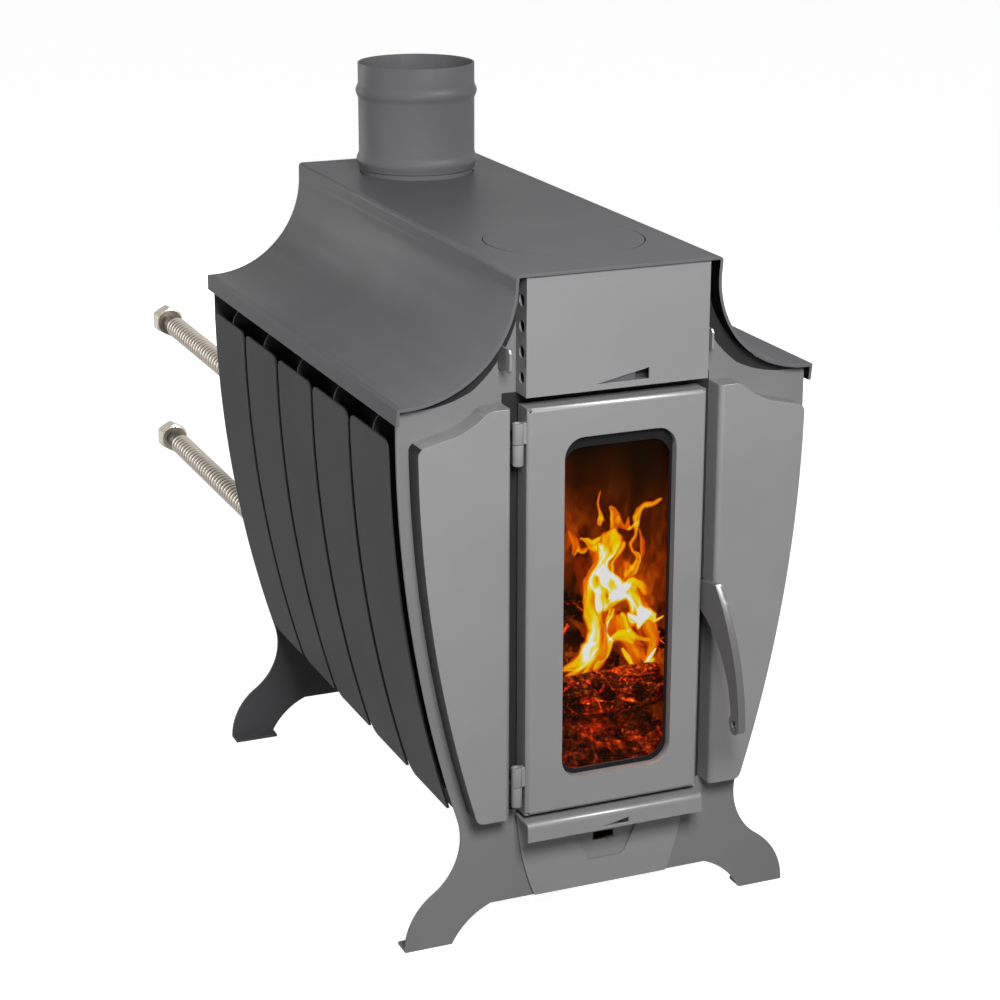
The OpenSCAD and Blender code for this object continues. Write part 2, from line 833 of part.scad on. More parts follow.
module wedge(x, z, l, h) {
    polygon([[x, z], [x + l, z], [x + l, z + h]]);
}

wedge_x = -22;
wedge_z = box_z0 + 5.5;
air_hole_z = box_z0 + 16;

module upper_air_box() color("gray") place()
    difference() {
        box(-box_half, box_half, box_y, panel_y, box_z0, hood_in_z);
        box(-box_half + thin, box_half - thin, box_y + thin, panel_y + 1,
            box_z0 + thin, hood_in_z - thin);
        along_y(box_y - 1, box_y + thin + 1) wedge(wedge_x, wedge_z, wedge_l, wedge_h);
        for (i = [0:3])
            rod_x(box_y + 11, air_hole_z + i * air_hole_pitch, air_hole_r,
                  -box_half - 1, box_half + 1);
    }

// Closes the slot towards +X.
module upper_air_slider() color("gray") place()
    box(wedge_x - 14, wedge_x + wedge_l - box_open, box_y + thin + slack, box_y + thin + slack + slide_t,
        box_z0 + thin + slack, wedge_z + wedge_h + 8);

// Firebox

module firebox_front() color("dimgray") place() {
    difference() {
        along_y(panel_back_y, fire_y0) {
            fire_area(0, floor_z, fire_top_z);
            rect(-hook_left - thin, hook_right + thin, hook_z0, hook_z1);
        }
        box(-rim_half_x + fire_t, rim_half_x - fire_t, panel_back_y - 1, fire_y0 + 1,
            rim_z0 + fire_t, rim_z1 - fire_t);
    }
    // The sealing rim that the door's rope closes on.
    difference() {
        box(-rim_half_x, rim_half_x, rim_front_y, panel_back_y, rim_z0, rim_z1);
        box(-rim_half_x + fire_t, rim_half_x - fire_t, rim_front_y - 1, panel_back_y + 1,
            rim_z0 + fire_t, rim_z1 - fire_t);
    }
}

module firebox_shell() color("dimgray") place() {
    difference() {
        along_y(fire_y0, fire_y1) fire_area(0, floor_z, fire_top_z - fire_t);
        along_y(fire_y0 - 1, fire_y1 + 1) fire_area(fire_t, floor_z - 1, fire_top_z + 1);
    }
    // Rails for the baffle.
    both_sides()
        box(hull_x(baffle_z, firebox_gap) - rail, hull_x(baffle_z - rail, firebox_gap) - fire_t / 2,
            fire_y0 + baffle_gap, fire_y1, baffle_z - rail, baffle_z);
}

module firebox_back() color("dimgray") place()
    difference() {
        along_y(fire_y1, rear_front_y) fire_area(0, floor_z, fire_top_z);
        for (z = [upper_pipe_z, lower_pipe_z])
            rod_y(-pipe_x, z, nipple_r + 1, fire_y1 - 1, rear_front_y + 1);
    }

module firebox_floor() color("dimgray") place()
    difference() {
        along_y(fire_y0, fire_y1) hull_area(firebox_gap + fire_t, floor_z, grate_z);
        box(-grate_half + 5, grate_half - 5, grate_y0 + 5, grate_y0 + grate_l - 5,
            floor_z - 1, grate_z + 1);
    }

module firebox_top() color("dimgray") place()
    difference() {
        box(-fire_neck, fire_neck, fire_y0, fire_y1, fire_top_z - fire_t, fire_top_z);
        translate([0, flue_y, fire_top_z - fire_t - 1])
            cylinder(h = fire_t + 2, r = stub_r - flue_wall);
        translate([0, hob_y, fire_top_z - fire_t - 1])
            cylinder(h = fire_t + 2, r = hob_in_r);
    }

module smoke_baffle() color("dimgray") place() {
    half = hull_x(baffle_z, firebox_gap + fire_t) - slack;
    box(-half, half, fire_y0 + baffle_gap, fire_y1 - tank_d - 20, baffle_z, baffle_z + end_t);
}

// Fire on its grate

module grate() color([0.18, 0.17, 0.16]) place() {
    slot_l = grate_half * 2 - 30;
    step = (grate_l - 20) / grate_slots;
    difference() {
        box(-grate_half, grate_half, grate_y0, grate_y0 + grate_l, grate_z, ember_z);
        for (i = [0:grate_slots - 1])
            box(-slot_l / 2, slot_l / 2,
                grate_y0 + 10 + step * (i + 0.25), grate_y0 + 10 + step * (i + 0.75),
                grate_z - 1, ember_z + 1);
    }
}

bed_side = 16;
bed_end = 17;
coal_step_x = (2 * ember_half - 2 * bed_side) / 5;
coal_step_y = (ember_l - 2 * bed_end) / 6;
coal = 0.62 * min(coal_step_x, coal_step_y);
stray = 0.09 * coal_step_x;
bed_skin = 8;

module ember_bed() color("orangered") place()
    difference() {
        coals();
        box(-grate_half - slack, grate_half + slack, grate_y0 - slack, grate_y0 + grate_l,
            grate_z - 1, ember_z);
        logs(slack);
    }

module coals() {
    box(-ember_half, ember_half, ember_y0, ember_y0 + ember_l, grate_z, ember_top_z - bed_skin);
    for (i = [0:5], j = [0:6])
        translate([
            -ember_half + bed_side + i * coal_step_x + stray * sin(97 * i + 61 * j),
            ember_y0 + bed_end + j * coal_step_y + stray * cos(83 * i + 47 * j),
            ember_top_z - bed_skin + 2 * sin(131 * i + 59 * j)
        ])
            rotate([25 * sin(53 * i + 7 * j), 25 * cos(71 * j + 11 * i), 60 * sin(17 * i + 37 * j)])
                cube([coal, coal * 0.8, coal * 0.7], center = true);
}

module log(x, y, z, turn, l, r) {
    translate([x, y, z]) rotate([0, 90, turn]) cylinder(h = l, r = r, center = true);
}

// Two logs lie across the stove and two on top of them.
module logs(gap) {
    mid_y = (log_ys[0] + log_ys[1]) / 2 + cross_y;
    log(0, log_ys[0], log_z, 4, 1.9 * ember_half, log_r + gap);
    log(0, log_ys[1], log_z, -5, 1.8 * ember_half, log_r + gap);
    log(-cross_x, mid_y, log_z + 1.85 * log_r, 78, cross_l, 0.9 * log_r + gap);
    log(cross_x, mid_y, log_z + 1.8 * log_r, 112, cross_l, 0.85 * log_r + gap);
}

module firewood() color([0.2, 0.13, 0.1]) place() logs(0);

// Ash drawer

module ash_box() color("dimgray") place()
    difference() {
        box(-tray_half - 2 - thin, tray_half + 2 + thin, panel_back_y, fire_y1 - ash_back, ash_z0, floor_z);
        box(-tray_half - 2, tray_half + 2, panel_back_y - 1, fire_y1 - ash_back - thin,
            ash_z0 + thin, floor_z + 1);
    }

// The tray's front wall stands behind a shallow pocket for the air slider, and has an air slot.
// The ash tray is folded from five plates with open seams.
module ash_drawer() color("darkgray") place() {
    inner = tray_half - tray_t - tray_seam;
    wall_y = front_y1 + pocket;
    back_y = front_y1 + tray_l - tray_t;
    low_z = tray_z0 + tray_t + tray_seam;
    box(-tray_half, tray_half, front_y1, front_y1 + tray_l, tray_z0, tray_z0 + tray_t);
    both_sides() box(tray_half - tray_t, tray_half, front_y1, front_y1 + tray_l, low_z, tray_z1);
    difference() {
        box(-inner, inner, wall_y, wall_y + tray_t, low_z, tray_z1);
        box(slot_x, slot_x + slot_w, wall_y - 1, wall_y + tray_t + 1, slot_z, slot_z + slot_h);
    }
    box(-inner, inner, back_y, back_y + tray_t, low_z, tray_z1);
}

// The opening in the drawer's front, behind which the air slider moves.
module tab_area() {
    polygon([
        [tab_x - tab_w0 / 2, tab_z0], [tab_x + tab_w0 / 2 - tab_cut, tab_z0],
        [tab_x + tab_w0 / 2 + tab_cut / 2, tab_z0 + tab_cut],
        [tab_x + tab_w1 / 2, tab_z1], [tab_x - tab_w1 / 2, tab_z1]
    ]);
}

module ash_drawer_front() color("gray") place() {
    difference() {
        along_y(front_y0, front_y1)
            intersection() {
                rect(-drawer_half, drawer_half, arch_h + 0.5, ledge_z);
                translate([drawer_half - drawer_curve_r, ledge_z]) circle(r = drawer_curve_r, $fn = 360);
                translate([drawer_curve_r - drawer_half, ledge_z]) circle(r = drawer_curve_r, $fn = 360);
            }
        along_y(front_y0 - 1, front_y1 + 1) tab_area();
    }
    // The ledge and its lip are one bent strip.
    difference() {
        along_x(-ledge_half, ledge_half)
            difference() {
                rect(ledge_y, front_y0, ledge_z - ledge_lip, ledge_z);
                rect(ledge_y + thin, front_y0 + 1, ledge_z - ledge_lip - 1, ledge_z - thin);
                corner_cut(ledge_y, ledge_z, ledge_bend, 90);
            }
        along_y(ledge_y - 1, ledge_y + thin + 1)
            wedge(lower_wedge_x, lower_wedge_z, lower_wedge_l, lower_wedge_h);
    }
}

module lower_air_slider() color("gray") place() {
    plate_y = front_y1 + slack;
    pointer_y = ledge_y + thin + slack;
    difference() {
        box(slide_x0, slide_x1, plate_y, plate_y + slide_t, tray_z0 + tray_t + slack, tray_z1 - 1);
        box(slot_x, slot_x + slot_w, plate_y - 1, plate_y + slide_t + 1, slot_z, slot_z + slot_h);
    }
    // A finger tab bent out of the slot's edge.
    box(tab_x + 2, tab_x + 8, front_y0 - 2, plate_y + slide_t, slot_z, slot_z + slide_t);
    // A strap hidden under the ledge carries the pointer behind the wedge slot.
    box(tab_x, tab_x + strap_w, pointer_y, plate_y, strap_z, strap_z + slide_t);
    box(tab_x, tab_x + strap_w, pointer_y, pointer_y + slide_t, strap_z,
        lower_wedge_z + lower_wedge_h + 2);
}

// Door

// Front view and side view of the door's pan, whose edges are bent round with radius r.
module bent_edge(half, depth, r) {
    difference() {
        rect(-half, half, 0, depth);
        both_sides() corner_cut(half, 0, r, 270);
    }
}

module pan(half, z0, z1, y0, y1, r) {
    intersection() {
        translate([0, y0, z0])
            linear_extrude(height = z1 - z0) bent_edge(half, y1 - y0, r);
        translate([-half, y0, (z0 + z1) / 2])
            rotate([0, 90, 0])
                linear_extrude(height = 2 * half) bent_edge((z1 - z0) / 2, y1 - y0, r);
    }
}

module door_pan() color("gray") place()
    difference() {
        union() {
            difference() {
                pan(door_half, door_z, door_top_z, door_y, door_back_y, door_bend);
                pan(door_half - door_t, door_z + door_t, door_top_z - door_t, door_y + door_t,
                    door_back_y + 1, door_bend - door_t + 0.5);
            }
            // The window's edge is folded back to the liner.
            along_y(door_y + 1, liner_y)
                round_rect(window_x, window_cz, window_w + 2 * thin, window_h + 2 * thin, window_r + thin);
        }
        along_y(door_y - 1, liner_y + 1)
            round_rect(window_x, window_cz, window_w, window_h, window_r);
        for (sx = [-1, 1], z = [door_z + relief_r, door_top_z - relief_r])
            translate([sx * (door_half - relief_r), door_y + relief_r - 0.4, z])
                sphere(r = relief_r, $fn = 48);
        rod_x(pivot_y, pivot_z, pivot_r, door_half - door_t - 1, door_half + 1);
    }

module door_liner() color("darkgray") place() {
    liner_half = door_half - door_t - slack;
    z0 = door_z + door_t + slack;
    z1 = door_top_z - door_t - slack;
    difference() {
        box(-liner_half, liner_half, seal_y + 1.5, rope_y, z0, z1);
        box(-liner_half + thin, liner_half - thin, seal_y, liner_y, z0 + thin, z1 - thin);
        along_y(liner_y - 1, rope_y + 1) view_area(0);
        for (x = screw_xs, z = screw_zs)
            rod_y(x, z, screw_r + 0.1, liner_y - 1, rope_y + 1);
    }
}

// The opening in the liner, made smaller or larger by a margin.
module view_area(margin) {
    round_rect(window_x, view_cz, view_w + 2 * margin, view_h + 2 * margin, window_r + margin);
}

module glass_gasket() color([0.15, 0.15, 0.15]) place()
    along_y(rope_y, glass_y)
        difference() {
            round_rect(window_x, view_cz, glass_w, glass_h, 3);
            view_area(0.5);
        }

module door_glass() color([0.55, 0.5, 0.45, 0.35]) place()
    along_y(glass_y, glass_y1) round_rect(window_x, view_cz, glass_w, glass_h, 3);

// The side view of a clamp strip under the glass, whose lower edge is at height 0.
module clamp_area() {
    rect(rope_y, rope_y + clamp_t, -clamp_w - slack, -slack);
    rect(rope_y, clamp_y1, -clamp_t - slack, -slack);
    rect(glass_y1, clamp_y1, -clamp_t - slack, clamp_lip);
}

module glass_clamps() color("darkgray") place()
    difference() {
        union()
            along_x(window_x - clamp_half, window_x + clamp_half) {
                translate([0, glass_z0]) clamp_area();
                translate([0, glass_z1]) mirror([0, 1]) clamp_area();
            }
        for (x = screw_xs, z = screw_zs)
            rod_y(x, z, screw_r + 0.1, rope_y - 1, rope_y + clamp_t + 1);
    }

module clamp_screws() color("silver") place()
    for (x = screw_xs, z = screw_zs) {
        rod_y(x, z, screw_r, seal_y + 1, rope_y + clamp_t);
        rod_y(x, z, head_r, rope_y + clamp_t, rope_y + clamp_t + head_h);
    }

module door_gasket() color("whitesmoke") place() {
    mid_x = rim_half_x - fire_t / 2;
    low_z = rim_z0 + fire_t / 2;
    high_z = rim_z1 - fire_t / 2;
    difference() {
        box(-mid_x - rope_d / 2, mid_x + rope_d / 2, rope_y, rope_y + rope_d,
            low_z - rope_d / 2, high_z + rope_d / 2);
        box(-mid_x + rope_d / 2, mid_x - rope_d / 2, rope_y - 1, rope_y + rope_d + 1,
            low_z + rope_d / 2, high_z - rope_d / 2);
    }
}

// Hinges: the lower half of each barrel is on the body, the upper half on the door.

module body_hinge_barrels() color("gray") place()
    for (z = barrel_zs) {
        z1 = z + (barrel_l - seam) / 2;
        difference() {
            union() {
                translate([hinge_x, hinge_y, z]) cylinder(h = z1 - z, r = barrel_r);
                box(hinge_x - 3, hinge_x + 1.5, hinge_y, panel_y, z, z1);
            }
            translate([hinge_x, hinge_y, z - 1]) cylinder(h = barrel_l, r = hinge_pin_r);
        }
    }

module door_hinge_barrels() color("gray") place()
    for (z = barrel_zs) {
        z0 = z + (barrel_l + seam) / 2;
        z1 = z + barrel_l;
        difference() {
            union() {
                translate([hinge_x, hinge_y, z0]) cylinder(h = z1 - z0, r = barrel_r);
                box(hinge_x, -door_half, hinge_y - 2.5, hinge_y + 3, z0, z1);
            }
            translate([hinge_x, hinge_y, z - 1]) cylinder(h = barrel_l * 2, r = hinge_pin_r + running);
        }
    }

module hinge_pins() color("silver") place()
    for (z = barrel_zs)
        translate([hinge_x, hinge_y, z]) cylinder(h = barrel_l - 2, r = hinge_pin_r);

// Handle and latch

module handle_area() {
    grip_top_z = pivot_z + 13;
    outer_y = front_y + grip_r;
    inner_y = front_y + grip_w + grip_inner_r;
    difference() {
        union() {
            // The blade lies between two arcs and stops under a sloping top.
            intersection() {
                translate([outer_y, eye_z - 6]) circle(r = grip_r, $fn = 360);
                polygon([
                    [front_y, eye_z - 4], [pivot_y, eye_z - 4], [pivot_y, grip_top_z],
                    [door_y - 25, grip_top_z + 6], [front_y, grip_top_z + 6]
                ]);
            }
            translate([eye_y, eye_z]) circle(r = eye_r);
            translate([pivot_y, pivot_z]) circle(r = hub_r);
            // The hook turns up behind the catch.
            rect(pivot_y, hook_y + hook_t, pivot_z - hub_r - 2, pivot_z - catch_r - 0.9);
            rect(hook_y, hook_y + hook_t, pivot_z - hub_r - 2, pivot_z - catch_r - 0.4);
        }
        difference() {
            translate([inner_y, eye_z - 6]) circle(r = grip_inner_r, $fn = 360);
            translate([eye_y, eye_z]) circle(r = eye_r);
            translate([pivot_y, pivot_z]) circle(r = hub_r);
            rect(pivot_y, hook_y + hook_t, pivot_z - hub_r - 2, pivot_z - catch_r - 0.4);
        }
        translate([eye_y, eye_z]) circle(r = eye_hole_r);
        translate([pivot_y, pivot_z]) circle(r = pivot_r + running);
    }
}

module door_handle() color("silver") place()
    along_x(handle_x, handle_x + handle_t) handle_area();

module handle_pin() color("silver") place() {
    washer_x = handle_x + handle_t + slack;
    rod_x(pivot_y, pivot_z, pivot_r, door_half - door_t, washer_x + washer_t);
    rod_x(pivot_y, pivot_z, pivot_r + 2.5, washer_x, washer_x + washer_t);
}

module latch_catch() color("silver") place() {
    box(plate_x, plate_x + plate_t, catch_y - catch_r - 1, panel_y, pivot_z - 9, pivot_z + 9);
    rod_x(catch_y, pivot_z, catch_r, handle_x + 1, plate_x);
}

// Fins: a bowed outer plate and a web that carries it on the firebox's wall.

module fin_side_area(y0, y1) {
    difference() {
        rect(y0, y1, fin_z0, fin_z1);
        corner_cut(y1, fin_z1, fin_r * 0.8);
        corner_cut(y0, fin_z1, fin_r, 90);
        corner_cut(y0, fin_z0, fin_r * 0.4, 180);
        corner_cut(y1, fin_z0, fin_r * 1.4, 270);
    }
}

module right_fin(i) {
    y0 = fin_y0 + (i - 1) * (fin_w + fin_gap);
    intersection() {
        along_y(y0, y0 + fin_w)
            intersection() {
                difference() {
                    hull_area(0, fin_z0 - 1, fin_z1 + 1);
                    hull_area(thin, fin_z0 - 2, fin_z1 + 2);
                }
                rect(0, hull_half + 1, fin_z0 - 1, fin_z1 + 1);
            }
        along_x(0, hull_half + 1) fin_side_area(y0, y0 + fin_w);
    }
    along_y(y0 + web_at, y0 + web_at + thin)
        difference() {
            intersection() {
                hull_area(thin, fin_z0 + 2, web_top_z);
                rect(0, hull_half, fin_z0, web_top_z);
            }
            fire_area(0, floor_z, fire_top_z);
            corner_cut(hull_half - thin, web_top_z, web_r);
            rect(0, fire_neck + web_keep, fin_z0, web_top_z + 1);
        }
}

module side_fin(i, side) color("dimgray") place()
    mirror([side < 0 ? 1 : 0, 0, 0]) right_fin(i);

module left_fin_1() side_fin(1, -1);
module left_fin_2() side_fin(2, -1);
module left_fin_3() side_fin(3, -1);
module left_fin_4() side_fin(4, -1);
module left_fin_5() side_fin(5, -1);
module right_fin_1() side_fin(1, 1);
module right_fin_2() side_fin(2, 1);
module right_fin_3() side_fin(3, 1);
module right_fin_4() side_fin(4, 1);
module right_fin_5() side_fin(5, 1);

// Water heater

module water_tank() color("silver") place()
    difference() {
        box(tank_x0, tank_x1, fire_y1 - tank_d, fire_y1, tank_z0, tank_z1);
        box(tank_x0 + thin, tank_x1 - thin, fire_y1 - tank_d + thin, fire_y1 - thin,
            tank_z0 + thin, tank_z1 - thin);
        for (z = [upper_pipe_z, lower_pipe_z])
            rod_y(-pipe_x, z, nipple_r - 3, fire_y1 - thin - 1, fire_y1 + 1);
    }

module water_nipples() color("silver") place()
    for (z = [upper_pipe_z, lower_pipe_z])
        difference() {
            rod_y(-pipe_x, z, nipple_r, fire_y1, back_y);
            rod_y(-pipe_x, z, nipple_r - 3, fire_y1 - 1, back_y + 1);
        }

// The thread's bore runs from the far face of the nut to its end wall, where the hose meets it.
module nut(z, y0, wall_y, thread_y) {
    difference() {
        translate([-pipe_x, y0, z])
            rotate([-90, 0, 0]) cylinder(h = nut_l, r = nut_af / sqrt(3), $fn = 6);
        rod_y(-pipe_x, z, hose_bore_r, y0 - 1, y0 + nut_l + 1);
        rod_y(-pipe_x, z, nipple_r + slack, min(wall_y, thread_y), max(wall_y, thread_y));
    }
}

module stove_nut(z) color("goldenrod") place() nut(z, nut_y, back_y, nut_y - 1);

module free_nut(z) color("goldenrod") place()
    nut(z, hose_y1, hose_y1 + nut_wall, hose_y1 + nut_l + 1);

module upper_hose_stove_nut() stove_nut(upper_pipe_z);
module lower_hose_stove_nut() stove_nut(lower_pipe_z);
module upper_hose_free_nut() free_nut(upper_pipe_z);
module lower_hose_free_nut() free_nut(lower_pipe_z);

// Corrugated hose: one tube whose rings swell at each rib, with a smooth bore.

hose_sides = 8;
hose_base_r = hose_r - rib_h;

// Stations along the hose as [y, radius], with straight ends.
hose_rings = concat(
    [[hose_y0, hose_base_r], [rib_y0, hose_base_r]],
    [for (i = [0:rib_n - 1], s = [0.5, 1]) [rib_y0 + (i + s) * rib_pitch, s == 1 ? hose_base_r : hose_r]],
    [[hose_y1, hose_base_r]]
);

function ring(z, y, r) = [
    for (k = [0:hose_sides - 1])
        [-pipe_x + r * cos(360 * (k + 0.5) / hose_sides), y, z + r * sin(360 * (k + 0.5) / hose_sides)]
];

function quads(a, b) = [
    for (k = [0:hose_sides - 1], half = [0, 1])
        let (n = (k + 1) % hose_sides)
        half == 0 ? [a + k, b + k, b + n] : [a + k, b + n, a + n]
];

module hose(z) color("lightgray") place() {
    outer = [for (st = hose_rings) each ring(z, st[0], st[1])];
    inner = concat(ring(z, hose_y1, hose_bore_r), ring(z, hose_y0, hose_bore_r));
    rings = len(hose_rings) + 2;
    polyhedron(
        points = concat(outer, inner),
        faces = [for (i = [0:rings - 1]) each quads(i * hose_sides, ((i + 1) % rings) * hose_sides)],
        convexity = 4
    );
}

module upper_hose() hose(upper_pipe_z);
module lower_hose() hose(lower_pipe_z);

front_leg_panel();
rear_leg_panel();
left_wing_panel();
right_wing_panel();
convector_hood();
hob_ring();
hob_cover();
flue_stub();
flue_collar();
upper_air_box();
upper_air_slider();
firebox_front();
firebox_shell();
firebox_back();
firebox_floor();
firebox_top();
smoke_baffle();
grate();
ember_bed();
firewood();
ash_box();
ash_drawer();
ash_drawer_front();
lower_air_slider();
door_pan();
door_liner();
door_glass();
glass_gasket();
glass_clamps();
clamp_screws();
door_gasket();
door_hinge_barrels();
body_hinge_barrels();
hinge_pins();
door_handle();
handle_pin();
latch_catch();
panel_hooks();
left_fin_1();
left_fin_2();
left_fin_3();
left_fin_4();
left_fin_5();
right_fin_1();
right_fin_2();
right_fin_3();
right_fin_4();
right_fin_5();
water_tank();
water_nipples();
upper_hose();
lower_hose();
upper_hose_stove_nut();
lower_hose_stove_nut();
upper_hose_free_nut();
lower_hose_free_nut();
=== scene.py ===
# %% [markdown]
# A wood-burning heating stove, dressed around its construction model. The model already holds every
# plate, hinge and pin at its real size. What it lacks is finish: sprayed paint, bright corrugated
# hoses, charred logs, glowing coals and flames. Each cell below adds one of these.

# %% Load the construction
import json
import math

import bmesh
import bpy
import numpy as np
from mathutils import Matrix, Vector

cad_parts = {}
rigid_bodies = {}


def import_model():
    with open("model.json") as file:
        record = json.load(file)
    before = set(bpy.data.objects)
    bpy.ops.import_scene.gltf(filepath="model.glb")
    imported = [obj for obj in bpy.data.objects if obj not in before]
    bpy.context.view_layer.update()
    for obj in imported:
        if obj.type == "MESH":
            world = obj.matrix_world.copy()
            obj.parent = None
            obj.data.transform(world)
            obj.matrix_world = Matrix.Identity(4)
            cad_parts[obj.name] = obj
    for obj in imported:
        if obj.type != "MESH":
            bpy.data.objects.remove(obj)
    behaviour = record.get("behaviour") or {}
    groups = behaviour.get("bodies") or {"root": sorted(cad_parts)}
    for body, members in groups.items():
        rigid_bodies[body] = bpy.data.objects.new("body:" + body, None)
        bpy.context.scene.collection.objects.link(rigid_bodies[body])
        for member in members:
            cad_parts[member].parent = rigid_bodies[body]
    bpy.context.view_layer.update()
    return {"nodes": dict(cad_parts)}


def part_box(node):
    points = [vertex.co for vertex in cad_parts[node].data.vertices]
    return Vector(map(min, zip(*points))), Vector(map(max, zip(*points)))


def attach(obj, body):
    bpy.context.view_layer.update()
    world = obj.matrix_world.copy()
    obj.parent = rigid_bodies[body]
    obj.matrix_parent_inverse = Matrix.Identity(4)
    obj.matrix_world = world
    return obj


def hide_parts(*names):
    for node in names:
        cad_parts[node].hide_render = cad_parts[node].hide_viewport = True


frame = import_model()
nodes = frame["nodes"]
MM = 0.001

# %% [markdown]
# The camera comes first, because it decides which sides need the most work. The photograph was taken
# from a little left of the door and above it, with a long lens, so that upright edges stay almost
# parallel. The place is given from the top front edge of the hood, the point that both the
# photograph and the model show best.

# %% Camera
PHOTO_AZIMUTH = -23.0
PHOTO_ELEVATION = 18.0
PHOTO_ROLL = 0.1
LENS = 88.5
SENSOR = 36
CLIP = 0.05, 50
HOOD_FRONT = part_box("convector_hood")[0].y
EYE = Vector((-0.9121, HOOD_FRONT - 1.8787, 1.1019))


def put(name, data):
    """A new object in the scene for a mesh, a lamp or a camera."""
    obj = bpy.data.objects.new(name, data)
    bpy.context.scene.collection.objects.link(obj)
    return obj


def photo_camera():
    """A camera whose back axis points from the stove to the eye; roll turns it about that axis."""
    a, e, roll = (math.radians(x) for x in (PHOTO_AZIMUTH, PHOTO_ELEVATION, PHOTO_ROLL))
    back = Vector((math.sin(a) * math.cos(e), -math.cos(a) * math.cos(e), math.sin(e)))
    right = (-back).cross(Vector((0, 0, 1))).normalized()
    up = right.cross(-back)
    across = right * math.cos(roll) + up * math.sin(roll)
    above = up * math.cos(roll) - right * math.sin(roll)
    cam = bpy.data.cameras.new("photo_camera")
    cam.lens, cam.sensor_width = LENS, SENSOR
    cam.clip_start, cam.clip_end = CLIP
    obj = put("photo_camera", cam)
    turn = Matrix((across, above, back)).transposed().to_4x4()
    obj.matrix_world = Matrix.Translation(EYE) @ turn
    return obj


bpy.context.scene.camera = photo_camera()
print("camera", [round(x, 3) for x in bpy.context.scene.camera.location])

# %% [markdown]
# New pieces are surfaces on a grid. A shape is a function of two parameters, worked out for all points
# at once, and this helper turns the grid of points into a mesh. The grid wraps round like a tube, and
# the tube's ends can be joined to each other or closed with flat caps.

# %% Grids to meshes
def grid_mesh(name, points, closed=False, caps=False, smooth=40):
    """points[i, j] is the surface, j goes round, and closed joins the last ring to the first."""
    n, m = points.shape[:2]
    i, j = np.meshgrid(np.arange(n if closed else n - 1), np.arange(m), indexing="ij")
    i2, j2 = (i + 1) % n, (j + 1) % m
    faces = np.stack([i * m + j, i * m + j2, i2 * m + j2, i2 * m + j], -1).reshape(-1, 4).tolist()
    if caps:
        faces += [list(range(m))[::-1], list(range((n - 1) * m, n * m))]
    mesh = bpy.data.meshes.new(name)
    mesh.from_pydata(points.reshape(-1, 3).tolist(), [], faces)
    mesh.shade_smooth()
    mesh.set_sharp_from_angle(angle=math.radians(smooth))
    mesh.update()
    return put(name, mesh)


def join(name, parts):
    """Several pieces of one kind become one object."""
    with bpy.context.temp_override(active_object=parts[0], selected_editable_objects=parts):
        bpy.ops.object.join()
    parts[0].name = parts[0].data.name = name
    return parts[0]


def ring(count):
    """Angles once round a circle."""
    return np.linspace(0, 2 * np.pi, count, endpoint=False)


# %% [markdown]
# The two hoses carry the water of the tank in the firebox. A corrugated hose is a thin steel tube
# pressed into ring-shaped waves: its radius rises and falls along its length like a rounded square
# wave, with narrow grooves and broad crests. It doesn't hang, because the pipes that it is screwed
# to hold it straight. Each point keeps a number, 0 in a groove and 1 on a crest, for the painted
# shade that darkens the grooves. At each end sits a hexagon nut with a cut thread.

# %% Hoses
HOSE_R = 12.8 * MM
HOSE_BORE_R = 9 * MM
RIB_H = 2.2 * MM
RIB_PITCH = 9.5 * MM
RIB_STEPS = 12
HOSE_L = 445 * MM
HOSE_SIDES = 48
RIBS = math.floor((HOSE_L - 4 * HOSE_R) / RIB_PITCH)

NUT_SIDES = 144
NUT_WALL = 5 * MM
NUT_EDGE = np.array([0, 0.2, 0.5, 1, 1.5, 2.0, 2.5]) * MM
CONE_START, CONE_SLOPE = 0.96, 1.7
THREAD_BORE, THREAD_PITCH, THREAD_DEPTH = 13.5 * MM, 1.8 * MM, 0.6 * MM
THREAD_STEPS = 76


def keep_value(obj, name, values):
    """One number for each vertex, which a material reads by its name."""
    layer = obj.data.attributes.new(name, "FLOAT", "POINT")
    layer.data.foreach_set("value", np.ascontiguousarray(values, dtype=np.float32).ravel())
    return obj


def hose_surface(name, start):
    """Rings along +Y: the radius follows 1 - |cos|^3 over each wave, and comes back as the smooth bore."""
    plain = (HOSE_L - RIBS * RIB_PITCH) / 2
    along = np.concatenate([[0], plain + np.arange(RIBS * RIB_STEPS + 1) * RIB_PITCH / RIB_STEPS, [HOSE_L]])
    phase = np.clip((along - plain) / RIB_PITCH, 0, RIBS)
    wave = 1 - np.abs(np.cos(np.pi * phase)) ** 3
    r = np.concatenate([HOSE_R - RIB_H + RIB_H * wave, [HOSE_BORE_R] * 2])
    y = np.concatenate([along, [HOSE_L, 0]])
    a = -ring(HOSE_SIDES)
    x = start.x + r[:, None] * np.cos(a)
    z = start.z + r[:, None] * np.sin(a)
    points = np.stack([x, np.broadcast_to(start.y + y[:, None], x.shape), z], -1)
    hose = grid_mesh(name, points, closed=True)
    return keep_value(hose, "crest", np.repeat(np.concatenate([wave, [0.5, 0.5]]), len(a)))


